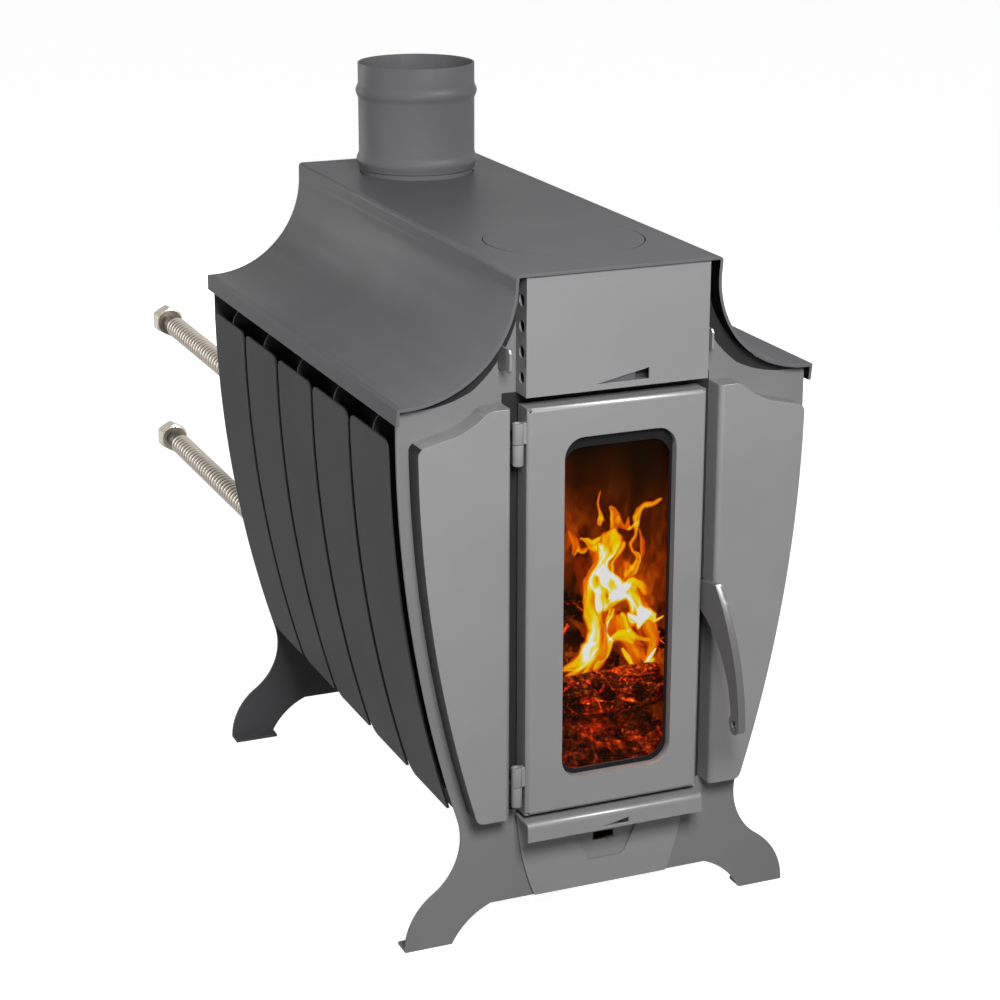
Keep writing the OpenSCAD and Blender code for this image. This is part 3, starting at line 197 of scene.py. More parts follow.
def hex_nut(name, cad, far):
    """A hexagon cut back by a cone at each end; a screw thread runs into it from its open end."""
    low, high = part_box(cad)
    across_flats = high.z - low.z
    cx, cz = (low.x + high.x) / 2, (low.z + high.z) / 2
    a = -ring(NUT_SIDES)
    hexagon = across_flats / 2 / np.cos((a + np.pi / 6) % (np.pi / 3) - np.pi / 6)
    length = high.y - low.y
    along = np.concatenate([NUT_EDGE, length - NUT_EDGE[::-1]])
    cone = across_flats / 2 * CONE_START + np.minimum(along, length - along) * CONE_SLOPE
    outer = np.minimum(hexagon[None, :], cone[:, None])
    t = np.linspace(0, length - NUT_WALL, THREAD_STEPS)
    turn = (t[:, None] / THREAD_PITCH + a[None, :] / (2 * np.pi)) % 1
    groove = (0.5 - 0.5 * np.cos(2 * np.pi * turn)) * np.clip(t / THREAD_PITCH, 0, 1)[:, None]
    thread = THREAD_BORE - THREAD_DEPTH * groove
    hole = np.full((2, len(a)), HOSE_BORE_R)
    radius = np.concatenate([outer, hole, thread[::-1]])
    place = np.concatenate([along, [length, length - NUT_WALL], t[::-1]])
    y = high.y - place if far else low.y + place
    radius = radius[:, ::-1] if far else radius
    x = cx + radius * np.cos(a[::-1] if far else a)
    z = cz + radius * np.sin(a[::-1] if far else a)
    points = np.stack([x, np.broadcast_to(y[:, None], x.shape), z], -1)
    return outwards(grid_mesh(name, points, closed=True, smooth=30))


def outwards(obj):
    """Turns every face of a closed mesh outwards."""
    mesh = bmesh.new()
    mesh.from_mesh(obj.data)
    bmesh.ops.recalc_face_normals(mesh, faces=mesh.faces)
    mesh.to_mesh(obj.data)
    mesh.free()
    return obj


for level in ("upper", "lower"):
    nut_low, nut_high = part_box(f"{level}_hose_stove_nut")
    start = Vector(((nut_low.x + nut_high.x) / 2, nut_high.y, (nut_low.z + nut_high.z) / 2))
    hose = outwards(hose_surface(f"{level}_corrugated_hose", start))
    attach(hose, "stove")
    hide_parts(f"{level}_hose")
    nuts = {"free": hex_nut(f"{level}_free_union_nut", f"{level}_hose_free_nut", True),
            "stove": hex_nut(f"{level}_stove_union_nut", f"{level}_hose_stove_nut", False)}
    for cad, nut in nuts.items():
        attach(nut, "stove")
        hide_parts(f"{level}_hose_{cad}_nut")
    print(level, "hose from", [round(x, 3) for x in start], "ribs", RIBS)

# %% [markdown]
# Bark, coal and flames have no drawing. They need a supply of smooth random heights that come out the
# same on every run. A seeded table of random numbers, blended between its entries, gives that, and
# each further octave adds detail of half the size.

# %% Smooth random heights
TABLE = 64
SHIFT_U, SHIFT_V = 11.3, 7.7


def heights(u, v, seed, octaves=3):
    """Blends a table of random numbers between whole u and v; the result lies between -1 and 1."""
    table = np.random.default_rng(seed).random((TABLE, TABLE)) * 2 - 1
    total, weight = np.zeros(np.broadcast(u, v).shape), 0.0
    for k in range(octaves):
        a, b = u * 2 ** k + SHIFT_U * k, v * 2 ** k + SHIFT_V * k
        i, j = np.floor(a).astype(int), np.floor(b).astype(int)
        fa, fb = a - i, b - j
        i0, j0, i1, j1 = i % TABLE, j % TABLE, (i + 1) % TABLE, (j + 1) % TABLE
        fa, fb = fa * fa * (3 - 2 * fa), fb * fb * (3 - 2 * fb)
        low = table[i0, j0] * (1 - fa) + table[i1, j0] * fa
        high = table[i0, j1] * (1 - fa) + table[i1, j1] * fa
        total += (low * (1 - fb) + high * fb) / 2 ** k
        weight += 1 / 2 ** k
    return total / weight


def step(low, high, x):
    """0 below low, 1 above high, and a smooth rise between them."""
    t = np.clip((x - low) / (high - low), 0, 1)
    return t * t * (3 - 2 * t)


sample = heights(np.linspace(0, 40, 2000), np.linspace(0, 7, 2000), 1)
print("heights from", round(sample.min(), 2), "to", round(sample.max(), 2))

# %% [markdown]
# Wood chars into small blocks: it shrinks as it burns, and cracks run along and across the grain. Those
# cracks are where two neighbouring blocks meet, so a log is a round bar with random block centres
# on it, and a crack wherever a point is equally near to its two nearest centres. Each point keeps
# how deep in a crack it lies, because the deepest cracks glow.

# %% Charred logs
LOG_RINGS, LOG_SIDES = 190, 120
LOG_CAP = np.array([0.02, 0.2, 0.4, 0.58, 0.72, 0.83, 0.91, 0.96])
RIM_ROUND, RIM_LENGTH = 0.1, 3 * MM
SWELL, SWELL_LENGTH, SWELL_TURNS = 0.14, 0.07, 1.3
CRACK_WIDTH, CRACK_DEPTH, END_CRACK_DEPTH = 0.13, 3.0 * MM, 1.5 * MM
CRACK_GLOW, SWELL_GLOW = 0.55, 1.1
BLOCK_SPARE, BLOCK_LIFT = 1.1, 0.5 * MM
FIBRE_LENGTH, FIBRE_TURNS, FIBRE_LIFT = 0.03, 9, 0.5 * MM
END_TURNS, END_LUMP = 3, 1.2 * MM


def at(x, y, z):
    """Millimetres from the stove's middle, from the hood's front edge and from the floor."""
    return np.stack([x * MM, HOOD_FRONT + y * MM, z * MM], -1)


def charred_log(name, start, end, radius, seed, block=(12, 8), hollow=0.0):
    """Rings along a line; radius = bar x swell - cracks; each end closes over a rough flat face."""
    rng = np.random.default_rng(seed)
    axis = end - start
    length = np.linalg.norm(axis)
    axis = axis / length
    side = np.cross(axis, [0.0, 0.0, 1.0])
    side /= np.linalg.norm(side)
    up = np.cross(side, axis)
    caps = len(LOG_CAP)
    rows = LOG_RINGS - 2 * caps
    s = np.concatenate([np.zeros(caps), np.linspace(0, length, rows), np.full(caps, length)])
    share = np.concatenate([LOG_CAP, np.ones(rows), LOG_CAP[::-1]])
    rim = np.minimum(s, length - s)
    share = share * np.where(share == 1, 1 - RIM_ROUND * np.exp(-rim / RIM_LENGTH), 1)
    a = ring(LOG_SIDES)
    swell = heights(s[:, None] / SWELL_LENGTH + SWELL_TURNS * np.cos(a), SWELL_TURNS * np.sin(a), seed)
    bar = radius * (1 + SWELL * swell)
    long, wide = block[0] * MM, block[1] * MM
    spot = np.stack([s[:, None] / long + 0 * a, share[:, None] * radius * np.cos(a) / wide,
                     share[:, None] * radius * np.sin(a) / wide], -1).reshape(-1, 3)
    count = int(length * 2 * np.pi * radius / (block[0] * block[1] * MM * MM) * BLOCK_SPARE)
    turn = rng.uniform(0, 2 * np.pi, count)
    centres = np.stack([rng.uniform(0, length, count) / long, radius * np.cos(turn) / wide,
                        radius * np.sin(turn) / wide], -1)
    far = np.sqrt(((spot[:, None, :] - centres[None]) ** 2).sum(-1))
    nearest = np.partition(far, 1, axis=1)
    gap = (nearest[:, 1] - nearest[:, 0]).reshape(len(s), -1)
    crack = np.exp(-(gap / CRACK_WIDTH) ** 2)
    lift = BLOCK_LIFT * np.cos(nearest[:, 0].reshape(len(s), -1) * 2)
    fibre = heights(s[:, None] / FIBRE_LENGTH, FIBRE_TURNS * np.cos(a), seed + 1) * FIBRE_LIFT
    r = ((bar - CRACK_DEPTH * crack + lift + fibre) * share[:, None])[..., None]
    core = np.where(share < 1, 1 - share, 0)[:, None]
    rough = heights(END_TURNS * np.cos(a) * share[:, None], END_TURNS * np.sin(a) * share[:, None], seed + 2)
    dish = core * (hollow + END_LUMP * rough)
    inwards = np.where(s == 0, 1, -1)[:, None]
    along = s[:, None] + inwards * (dish + END_CRACK_DEPTH * crack * (share < 1)[:, None])
    points = start + along[..., None] * axis + r * np.cos(a)[:, None] * side + r * np.sin(a)[:, None] * up
    obj = outwards(grid_mesh(name, points, caps=True, smooth=60))
    return keep_value(obj, "crack", crack * np.clip(CRACK_GLOW + SWELL_GLOW * swell, 0, 1))


logs = join("charred_logs", [
    charred_log("front_log", at(-92, 97, 197), at(93, 101, 197), 20 * MM, 3),
    charred_log("rear_log", at(-84, 194, 196), at(86, 184, 196), 20 * MM, 4),
    charred_log("left_log", at(4, 122, 239), at(-12, 262, 234), 25 * MM, 8, hollow=9 * MM),
    charred_log("right_log", at(112, 132, 226), at(60, 262, 232), 12 * MM, 12, block=(14, 9)),
])
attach(logs, "stove")
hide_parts("firewood")
print("logs", len(logs.data.polygons), "faces")

# %% [markdown]
# Under the logs lies a heap of broken charcoal. One coal is an angular stone: the smallest of the
# distances to a handful of random planes gives a faceted shape. The coals lie scattered over a low
# mound of ash, and those that stick up are dark and ashy, because the air cools them, while the
# gaps between them glow. Each point keeps that heat as a number.

# %% Glowing coals
BED_FRONT, BED_BACK, BED_HALF = 40, 288, 100
BED_UNDERSIDE, BED_EDGE, BED_TOP, BED_RISE = 126.5, 128, 151, 17
COAL_COUNT, COAL_PLANES = 230, 11
COAL_ROWS, COAL_COLUMNS = 7, 10
COAL_SIZES, COAL_SHAPE = (5, 10.5), np.array([1.25, 1.0, 0.75])
NEAREST_PLANE, SMALLEST_COSINE, LONGEST_REACH = 0.55, 0.15, 1.25
SIDE_SHARE, FRONT_ROOM, BACK_ROOM = 0.88, 10, 14
LUMP, LUMP_LENGTH, SINK = 2.5, 14, 2.5
BED_SEED, ASH_SEED, HEAT_SEED = 21, 22, 23
COOLING, COOL_HEIGHT = 0.3, 6


def bed_height(x, y):
    """Height of the mound in mm: a slope up from the door, round at its sides, and lumpy."""
    slope = BED_TOP + BED_RISE * step(BED_FRONT, 105, y)
    deep = (y - BED_FRONT) / (BED_BACK - BED_FRONT)
    sides = np.clip(1 - step(0.8, 1.05, np.abs(x) / BED_HALF) - step(0.9, 1.02, deep), 0, 1)
    lumps = LUMP * heights(x / LUMP_LENGTH, y / LUMP_LENGTH, BED_SEED)
    return BED_EDGE + (slope - BED_EDGE) * sides + lumps


def ash_mound():
    """A rounded rectangle of rings from the middle outwards, and back under it along the floor."""
    share = np.concatenate([[0.01], np.linspace(0.03, 1, 60) ** 0.8, [1.0, 0.5, 0.01]])
    a = -ring(200)
    square = (np.abs(np.cos(a)) ** 6 + np.abs(np.sin(a)) ** 6) ** (-1 / 6)
    x = BED_HALF * share[:, None] * square * np.cos(a)
    y = (BED_FRONT + BED_BACK) / 2 + (BED_BACK - BED_FRONT) / 2 * share[:, None] * square * np.sin(a)
    z = bed_height(x, y)
    z[-3:] = BED_UNDERSIDE
    glow = np.clip(0.6 + 0.9 * heights(x / 22, y / 22, ASH_SEED), 0, 1)
    mound = grid_mesh("ash_mound", at(x, y, z), caps=True)
    return keep_value(outwards(mound), "heat", glow)


def coals(count, seed):
    """For every coal at once: radius = size x smallest of (plane distance / cosine to that plane)."""
    rng = np.random.default_rng(seed)
    polar = np.concatenate([[0.02], np.linspace(0.12, 0.88, COAL_ROWS - 2), [0.98]]) * np.pi
    around = ring(COAL_COLUMNS)
    ball = np.stack([np.sin(polar)[:, None] * np.cos(around), np.sin(polar)[:, None] * np.sin(around),
                     np.cos(polar)[:, None] + 0 * around], -1).reshape(-1, 3)
    planes = rng.normal(size=(count, COAL_PLANES, 3))
    planes /= np.linalg.norm(planes, axis=-1, keepdims=True)
    cosine = np.einsum("vk,cpk->cvp", ball, planes)
    away = rng.uniform(NEAREST_PLANE, 1, (count, 1, COAL_PLANES))
    reach = (away / np.maximum(cosine, SMALLEST_COSINE)).min(-1)
    size = rng.uniform(*COAL_SIZES, (count, 1)) * COAL_SHAPE
    stone = ball[None] * np.minimum(reach, LONGEST_REACH)[..., None] * size[:, None, :]
    turn = rng.uniform(0, 2 * np.pi, (count, 1))
    x = stone[..., 0] * np.cos(turn) - stone[..., 1] * np.sin(turn)
    y = stone[..., 0] * np.sin(turn) + stone[..., 1] * np.cos(turn)
    cx = rng.uniform(-SIDE_SHARE, SIDE_SHARE, (count, 1)) * BED_HALF
    room = BED_BACK - BED_FRONT - FRONT_ROOM - BACK_ROOM
    cy = BED_FRONT + FRONT_ROOM + rng.uniform(0, 1, (count, 1)) ** 1.4 * room
    low = bed_height(cx, cy) + rng.uniform(-SINK, SINK, (count, 1))
    x, y, z = x + cx, y + cy, low + stone[..., 2]
    above = (z - low) / COOL_HEIGHT
    warm = rng.uniform(-0.6, 0.5, (count, 1))
    heat = np.clip(0.72 - COOLING * above + warm + 0.35 * heights(x / 5, y / 5, HEAT_SEED), 0, 1)
    points = at(x, y, z).reshape(count, COAL_ROWS, COAL_COLUMNS, 3)
    parts = [grid_mesh(f"coal_{k}", p, caps=True, smooth=20) for k, p in enumerate(points)]
    for part, value in zip(parts, heat):
        keep_value(outwards(part), "heat", value)
    return parts


bed = join("glowing_coals", [ash_mound()] + coals(COAL_COUNT, 5))
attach(bed, "stove")
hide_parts("ember_bed")
heat_kept = np.empty(len(bed.data.vertices), dtype=np.float32)
bed.data.attributes["heat"].data.foreach_get("value", heat_kept)
print("coals", len(bed.data.polygons), "faces, mean heat", heat_kept.mean())

# %% [markdown]
# A flame is hot gas, brightest where the eye looks through much of it, and drawn out into threads by
# the draught. It is made here of three thin curtains, one behind the other. On each, tongues follow
# bent lines and swell and thin out along them. The plane is stirred by swirls first, which frays the
# tongues, and threads run along the flow. Only what shines of a curtain is kept, and each point
# keeps its brightness.

# %% Flames
FLAME_CELL = 0.9
FLAME_X, FLAME_Z = (-22, 124), (206, 412)
SPREAD = 1.4
DIMMEST, BRIGHTEST = 0.02, 1.25
CURTAIN_T = 0.4 * MM
THREAD_LENGTH, FINE_LENGTH = 24, 34
FRAY, THREAD_LIGHT, FINE_LIGHT = 0.35, 0.7, 0.4
STIRRED_ABOVE = 260
OVERLAP_LOSS = 0.45

# Each tongue is a line of (x, z, half width) in mm along its middle; the last number is its strength.
TONGUES = {
    "front": [
        ([(13, 217, 14), (23, 229, 16), (30, 244, 12), (32, 259, 9), (29, 274, 8), (28, 288, 9),
          (30, 301, 10), (36, 313, 10), (40, 324, 8), (44, 334, 9), (46, 345, 8), (50, 354, 2)], 0.8),
        ([(-2, 225, 3), (7, 225, 5), (17, 231, 7), (24, 239, 8)], 0.8),
        ([(37, 281, 6), (38, 291, 5), (30, 300, 4), (30, 308, 4), (37, 318, 5), (42, 327, 6), (37, 335, 4),
          (34, 342, 2)], 0.75),
        ([(39, 314, 4), (47, 303, 7), (56, 292, 9), (67, 289, 8), (73, 280, 7), (76, 271, 8), (76, 260, 8),
          (68, 266, 4)], 1.15),
        ([(42, 275, 2), (49, 282, 5), (56, 288, 6)], 0.8),
        ([(79, 271, 6), (88, 266, 5), (94, 259, 3), (101, 262, 1)], 0.95),
        ([(64, 296, 4), (71, 300, 3), (78, 296, 3), (81, 289, 2)], 0.85),
        ([(54, 340, 4), (52, 329, 4), (48, 319, 4), (47, 308, 4)], 0.65),
    ],
    "middle": [
        ([(68, 258, 8), (80, 243, 14), (89, 229, 12), (94, 216, 7)], 0.28),
        ([(58, 257, 7), (62, 240, 11), (72, 229, 10), (79, 214, 5)], 0.24),
        ([(94, 255, 7), (98, 240, 6), (100, 227, 5), (95, 214, 3)], 0.36),
        ([(55, 270, 3), (52, 257, 2), (49, 245, 3), (55, 237, 2), (49, 225, 3), (39, 213, 4)], 0.75),
        ([(64, 263, 2), (70, 247, 2), (83, 237, 2), (95, 234, 1)], 0.6),
        ([(66, 227, 1), (72, 218, 2), (78, 206, 1)], 0.75),
        ([(102, 223, 1), (98, 216, 2), (93, 210, 4), (101, 212, 1)], 0.95),
        ([(56, 238, 2), (66, 242, 5), (75, 237, 4)], 0.55),
        ([(20, 348, 1), (28, 344, 3), (34, 338, 5), (40, 344, 4), (44, 350, 1)], 0.75),
        ([(36, 333, 5), (42, 321, 5), (41, 310, 7), (29, 301, 5), (26, 287, 2)], 0.55),
    ],
    "back": [
        ([(57, 341, 1), (60, 350, 4), (60, 359, 5), (59, 367, 3), (57, 372, 1)], 0.62),
        ([(63, 356, 3), (69, 350, 3), (74, 347, 2), (76, 358, 1)], 0.40),
        ([(71, 293, 4), (81, 303, 4), (87, 312, 3), (85, 318, 2), (79, 322, 1), (77, 331, 2), (81, 339, 2),
          (84, 348, 3), (85, 357, 4), (88, 364, 3), (95, 368, 3), (104, 366, 2), (113, 370, 1)], 0.62),
        ([(76, 346, 2), (83, 349, 3)], 0.56),
        ([(91, 316, 2), (91, 331, 2), (87, 341, 1)], 0.34),
        ([(72, 300, 3), (74, 310, 3), (77, 305, 3)], 0.34),
        ([(12, 352, 1), (17, 343, 3), (19, 336, 4), (14, 330, 2)], 0.40),
        ([(22, 333, 2), (29, 331, 3), (33, 333, 1)], 0.40),
        ([(44, 391, 1), (44, 383, 1), (44, 375, 1), (46, 365, 2), (43, 358, 2)], 0.44),
        ([(46, 364, 2), (49, 361, 1)], 0.32),
        ([(48, 226, 20), (48, 254, 16), (49, 282, 14), (54, 308, 12), (59, 331, 10)], 0.22),
        ([(25, 319, 7), (31, 307, 8), (28, 297, 8)], 0.13),
    ],
}
# How far each curtain hangs behind the hood's front edge
DEPTHS = {"front": 108, "middle": 121, "back": 134}


def tongue_light(x, z, line, strength, seed):
    """Strength x (1 - (distance / half width)^2), threaded by random heights long along the line."""
    best = np.full(x.shape, -1.0)
    across, along = np.zeros(x.shape), np.zeros(x.shape)
    run = 0.0
    for (x0, z0, w0), (x1, z1, w1) in zip(line[:-1], line[1:]):
        dx, dz = x1 - x0, z1 - z0
        size = math.hypot(dx, dz)
        t = np.clip(((x - x0) * dx + (z - z0) * dz) / size ** 2, 0, 1)
        offset = ((x - x0) * dz - (z - z0) * dx) / size
        far = np.hypot(x - x0 - t * dx, z - z0 - t * dz)
        width = (w0 + (w1 - w0) * t) * SPREAD
        inside = 1 - (far / width) ** 2
        better = inside > best
        best = np.where(better, inside, best)
        across = np.where(better, offset / width, across)
        along = np.where(better, run + t * size, along)
        run += size
    threads = heights(across * 2.1 + 20, along / THREAD_LENGTH + 30, seed, 4)
    fine = heights(across * 5 + 9, along / FINE_LENGTH + 13, seed + 50, 3)
    shape = strength * step(-0.05, 0.85, best + FRAY * threads)
    return shape * (0.8 + THREAD_LIGHT * threads + FINE_LIGHT * fine)


def swirl(x, z, shift, seed):
    """A slow swirl of up to 3 mm and a quick one of up to 2 mm."""
    return 3 * heights(x / 22 + shift, z / 26, seed, 2) + 2 * heights(x / 8 + shift, z / 10, seed + 1, 2)


def flame_curtain(layer):
    """A grid in x and z, stirred, lit by its tongues, bent in depth, and cut to where it shines."""
    seed = list(DEPTHS).index(layer) * 10 + 60
    x, z = np.meshgrid(np.arange(*FLAME_X, FLAME_CELL), np.arange(*FLAME_Z, FLAME_CELL), indexing="ij")
    rise = step(FLAME_Z[0], STIRRED_ABOVE, z)
    wx = x + rise * swirl(x, z, 0, seed)
    wz = z + rise * swirl(x, z, 40, seed + 2)
    light = np.zeros(x.shape)
    for k, (line, strength) in enumerate(TONGUES[layer]):
        light = light + tongue_light(wx, wz, line, strength, seed + k) * (1 - OVERLAP_LOSS * light)
    light = np.clip(light, 0, BRIGHTEST)
    y = DEPTHS[layer] + 9 * heights(x / 45, z / 45, seed + 4, 2) + 5 * heights(x / 14, z / 18, seed + 5, 1)
    first, m = np.arange(x.size).reshape(x.shape)[:-1, :-1].ravel(), x.shape[1]
    quads = np.stack([first, first + m, first + m + 1, first + 1], -1)
    shines = light.ravel()[quads].max(1) > DIMMEST
    used, faces = np.unique(quads[shines], return_inverse=True)
    points = at(x.ravel(), y.ravel(), z.ravel())[used]
    mesh = bpy.data.meshes.new(f"flame_{layer}")
    mesh.from_pydata(points.tolist(), [], faces.reshape(-1, 4).tolist())
    mesh.shade_smooth()
    obj = keep_value(put(f"flame_{layer}", mesh), "light", light.ravel()[used])
    thick = obj.modifiers.new("curtain thickness", "SOLIDIFY")
    thick.thickness, thick.offset = CURTAIN_T, 0
    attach(obj, "stove")
    return obj


flames = [flame_curtain(layer) for layer in TONGUES]
print("flame faces", [len(o.data.polygons) for o in flames])

# %% [markdown]
# A material is a small network of nodes. Two helpers do most of the work: one turns a colour as a
# designer writes it into the linear numbers that the renderer mixes, and one adds a node with its
# settings and links in a single call.

# %% Material helpers
def linear(code):
    """#rrggbb in sRGB to linear red, green and blue, with alpha 1."""
    c = [int(code[i:i + 2], 16) / 255 for i in (1, 3, 5)]
    return (*(x / 12.92 if x <= 0.04045 else ((x + 0.055) / 1.055) ** 2.4 for x in c), 1.0)


def feed(tree, socket, value):
    """Links a node's first output, or the output that is given, or else sets a plain value."""
    if isinstance(value, bpy.types.Node):
        value = value.outputs[0]
    if isinstance(value, bpy.types.NodeSocket):
        tree.links.new(value, socket)
    else:
        socket.default_value = value


def add(tree, kind, inputs=None, **settings):
    """Adds a node with its settings; each input is a value or what to link."""
    n = tree.nodes.new("ShaderNode" + kind)
    for key, value in settings.items():
        setattr(n, key, value)
    for key, value in (inputs or {}).items():
        feed(tree, n.inputs[key], value)
    return n


def new_material(name):
    """An empty material with an output, and the place on the object to read patterns from."""
    m = bpy.data.materials.new(name)
    m.use_nodes = True
    m.node_tree.nodes.clear()
    place = add(m.node_tree, "TexCoord")
    return m, m.node_tree, place.outputs["Object"]


def ramp(tree, value, stops):
    """A colour ramp; each stop is a position with a colour code, or with a plain grey number."""
    r = add(tree, "ValToRGB", {"Fac": value})
    elements = r.color_ramp.elements
    while len(elements) < len(stops):
        elements.new(0.5)
    for e, (position, colour) in zip(elements, stops):
        e.position, e.color = position, linear(colour) if isinstance(colour, str) else (colour,) * 3 + (1.0,)
    return r


def output(tree, shader):
    add(tree, "OutputMaterial", {"Surface": shader})


# %% [markdown]
# Heat-resistant silicone paint is sprayed on the sheet steel and cured by the first fires. It has a
# fine dry grain from the spray droplets, under a millimetre across, and a faint cloudiness where the
# coats overlap. The front dries satin, so a bend in the sheet catches a narrow bright line. The hood
# and the fins, which get hottest, are dull. Shade is painted into the colour in several places: the
# hood, the pipes, the handle, the fins, the leg panels and the upper slider get darker greys than the
# front, and some zones are darker still: a strip round the door, a strip along the hood's hollow, the
# part behind the ledge and the wings' outer edges. The inside of the hood is black, as bare steel and
# as painted shade. Those zones are written in metres from the stove's middle and the floor.

# %% Sprayed stove paint
STOVE_MIDDLE = (0.0, 0.03, 0.35)
HOOD_MIDDLE = (0.0, 0.0, 0.45)
HOLLOW_CENTRE = (0.198, 0.0, 0.624)
HOLLOW_SIDE, HOLLOW_REACH = (0.13, 0.2), (0.1145, 0.1025)
DOOR_HALF, DOOR_HEIGHTS = 0.102, (0.127, 0.527)
LEDGE_HEIGHTS = 0.098, 0.13
TURNED_OUT = 0.09
SPRAY_GRAIN, COAT_CLOUD = 0.9 * MM, 120 * MM


def facing_in(tree, place, middle=STOVE_MIDDLE):
    """1 where a plate's normal points to the stove's middle, and 0 on its outer side."""
    normal = add(tree, "NewGeometry").outputs["Normal"]
    inward = add(tree, "VectorMath", {0: middle, 1: place}, operation="SUBTRACT")
    facing = add(tree, "VectorMath", {0: inward, 1: normal}, operation="DOT_PRODUCT")
    return add(tree, "Math", {0: facing.outputs["Value"], 1: 0.0}, operation="GREATER_THAN")


def colour_mix(tree, share, one, two):
    """One colour where share is 0 and the other where it is 1; the colour sockets go by their places."""
    mix = add(tree, "Mix", data_type="RGBA")
    for socket, value in ((0, share), (6, one), (7, two)):
        feed(tree, mix.inputs[socket], value)
    return mix.outputs[2]


def along_x(tree, place):
    """Distance to the stove's middle plane, and the parts of the place."""
    parts = add(tree, "SeparateXYZ", {"Vector": place}).outputs
    return add(tree, "Math", {0: parts["X"]}, operation="ABSOLUTE"), parts


def between(tree, value, low, high):
    """1 where a value lies between two limits."""
    middle, half = (low + high) / 2, (high - low) / 2
    return add(tree, "Math", {0: value, 1: middle, 2: half}, operation="COMPARE")


# Black inside the hood: the bare steel there, and painted shade under the hood
def hood_inside(tree, place):
    return facing_in(tree, place, HOOD_MIDDLE)


def painted_shade_round_door_and_hood(tree, place):
    """Painted shade: a strip round the door, and one along the hood's hollow narrowing towards the rim."""
    side, parts = along_x(tree, place)
    beside, level = between(tree, side, 0, DOOR_HALF), between(tree, parts["Z"], *DOOR_HEIGHTS)
    door = add(tree, "Math", {0: beside, 1: level}, operation="MULTIPLY")
    flat = add(tree, "CombineXYZ", {"X": side, "Z": parts["Z"]})
    reach = add(tree, "VectorMath", {0: flat, 1: HOLLOW_CENTRE}, operation="DISTANCE")
    strip = add(tree, "MapRange", {"Value": side, "From Min": HOLLOW_SIDE[0], "From Max": HOLLOW_SIDE[1],
                                   "To Min": HOLLOW_REACH[0], "To Max": HOLLOW_REACH[1]})
    hollow = add(tree, "Math", {0: reach.outputs["Value"], 1: strip}, operation="LESS_THAN")
    return add(tree, "Math", {0: door, 1: hollow}, operation="MAXIMUM")


# Painted shade on the band behind and under the ledge, between these heights
def painted_shade_behind_ledge(tree, place):
    return between(tree, along_x(tree, place)[1]["Z"], *LEDGE_HEIGHTS)


def painted_shade_outer_edge(tree, place):
    """Painted shade on bent edges facing away from the middle plane: normal x times place x is large."""
    normal = add(tree, "NewGeometry").outputs["Normal"]
    facing = add(tree, "SeparateXYZ", {"Vector": normal}).outputs["X"]
    away = add(tree, "Math", {0: facing, 1: along_x(tree, place)[1]["X"]}, operation="MULTIPLY")
    return add(tree, "Math", {0: away, 1: TURNED_OUT}, operation="GREATER_THAN")


def paint(name, colour, cloud, roughness=0.42, shine=0.05, dark="#0a0a0a", where=None):
    """Sprayed paint; shine is the strength of its highlights, and where gives the part that is dark."""
    m, t, place = new_material("sprayed_silicone_paint_" + name)
    grain = add(t, "TexNoise", {"Vector": place, "Scale": 1 / SPRAY_GRAIN, "Detail": 3, "Roughness": 0.6})
    clouds = add(t, "TexNoise", {"Vector": place, "Scale": 1 / COAT_CLOUD, "Detail": 2})
    tint = ramp(t, clouds, [(0.3, colour), (0.7, cloud)])
    if where:
        tint = colour_mix(t, where(t, place), tint, linear(dark))
    matt = add(t, "MapRange", {"Value": grain, "From Min": 0.3, "From Max": 0.7, "To Min": roughness - 0.05,
                               "To Max": roughness + 0.05})
    bump = add(t, "Bump", {"Height": grain, "Strength": 0.12, "Distance": 0.2 * MM})
    output(t, add(t, "BsdfPrincipled", {"Base Color": tint, "Roughness": matt, "Specular IOR Level": shine,
                                        "Normal": bump}))
    return m


grey_paint = paint("grey", "#828283", "#878788", roughness=0.36, shine=0.15)
# The wings' outer edges are dark as painted shade
wing_paint = paint("grey_dark_on_outer_edges", "#828283", "#878788", roughness=0.36, shine=0.15,
                   dark="#1c1c1d", where=painted_shade_outer_edge)
# The front leg panel: a darker grey than the front, and painted shade round the door and along the hollow
leg_paint = paint("grey_painted_shade_round_door", "#757576", "#7a7a7b", dark="#2e2e2f", where=painted_shade_round_door_and_hood)
# Painted shade: the hood, the pipes, the handle, the fins, the rear leg and the upper slider get darker
# greys than the front
hood_paint = paint("hood_grey_painted_shade_black_inside", "#646466", "#69696b", shine=0.02, where=hood_inside)
pipe_paint = paint("pipe_grey_painted_shade", "#656567", "#6a6a6c", shine=0.04)
handle_paint = paint("handle_grey_painted_shade", "#5e5e5f", "#636364", roughness=0.34, shine=0.15)
fin_paint = paint("fin_grey_painted_shade", "#505051", "#555556", roughness=0.6, shine=0.02)
shade_paint = paint("darker_grey_painted_shade", "#58585a", "#5c5c5e", roughness=0.6)
# The lower slider carries painted shade behind the ledge
slide_paint = paint("grey_dark_behind_ledge", "#7e7e7f", "#838384", roughness=0.36, shine=0.15,
                    dark="#262627", where=painted_shade_behind_ledge)
black_paint = paint("black", "#0c0c0c", "#121212", roughness=0.6)
liner_paint = paint("black_on_door_liner", "#1a1a1b", "#1f1f20", roughness=0.5)

# %% [markdown]
# Bare steel shows on the pins, the tray and the catch. Rolled sheet has fine lines along the rolling
# direction, so a noise stretched along one axis varies its roughness. The nuts are nickel-plated
# brass, a little warmer. The hoses are annealed stainless steel: warm grey, with painted shade in the
# grooves.

# %% Bare and bright steels
LINE = 0.4 * MM
STAIN = 4 * MM


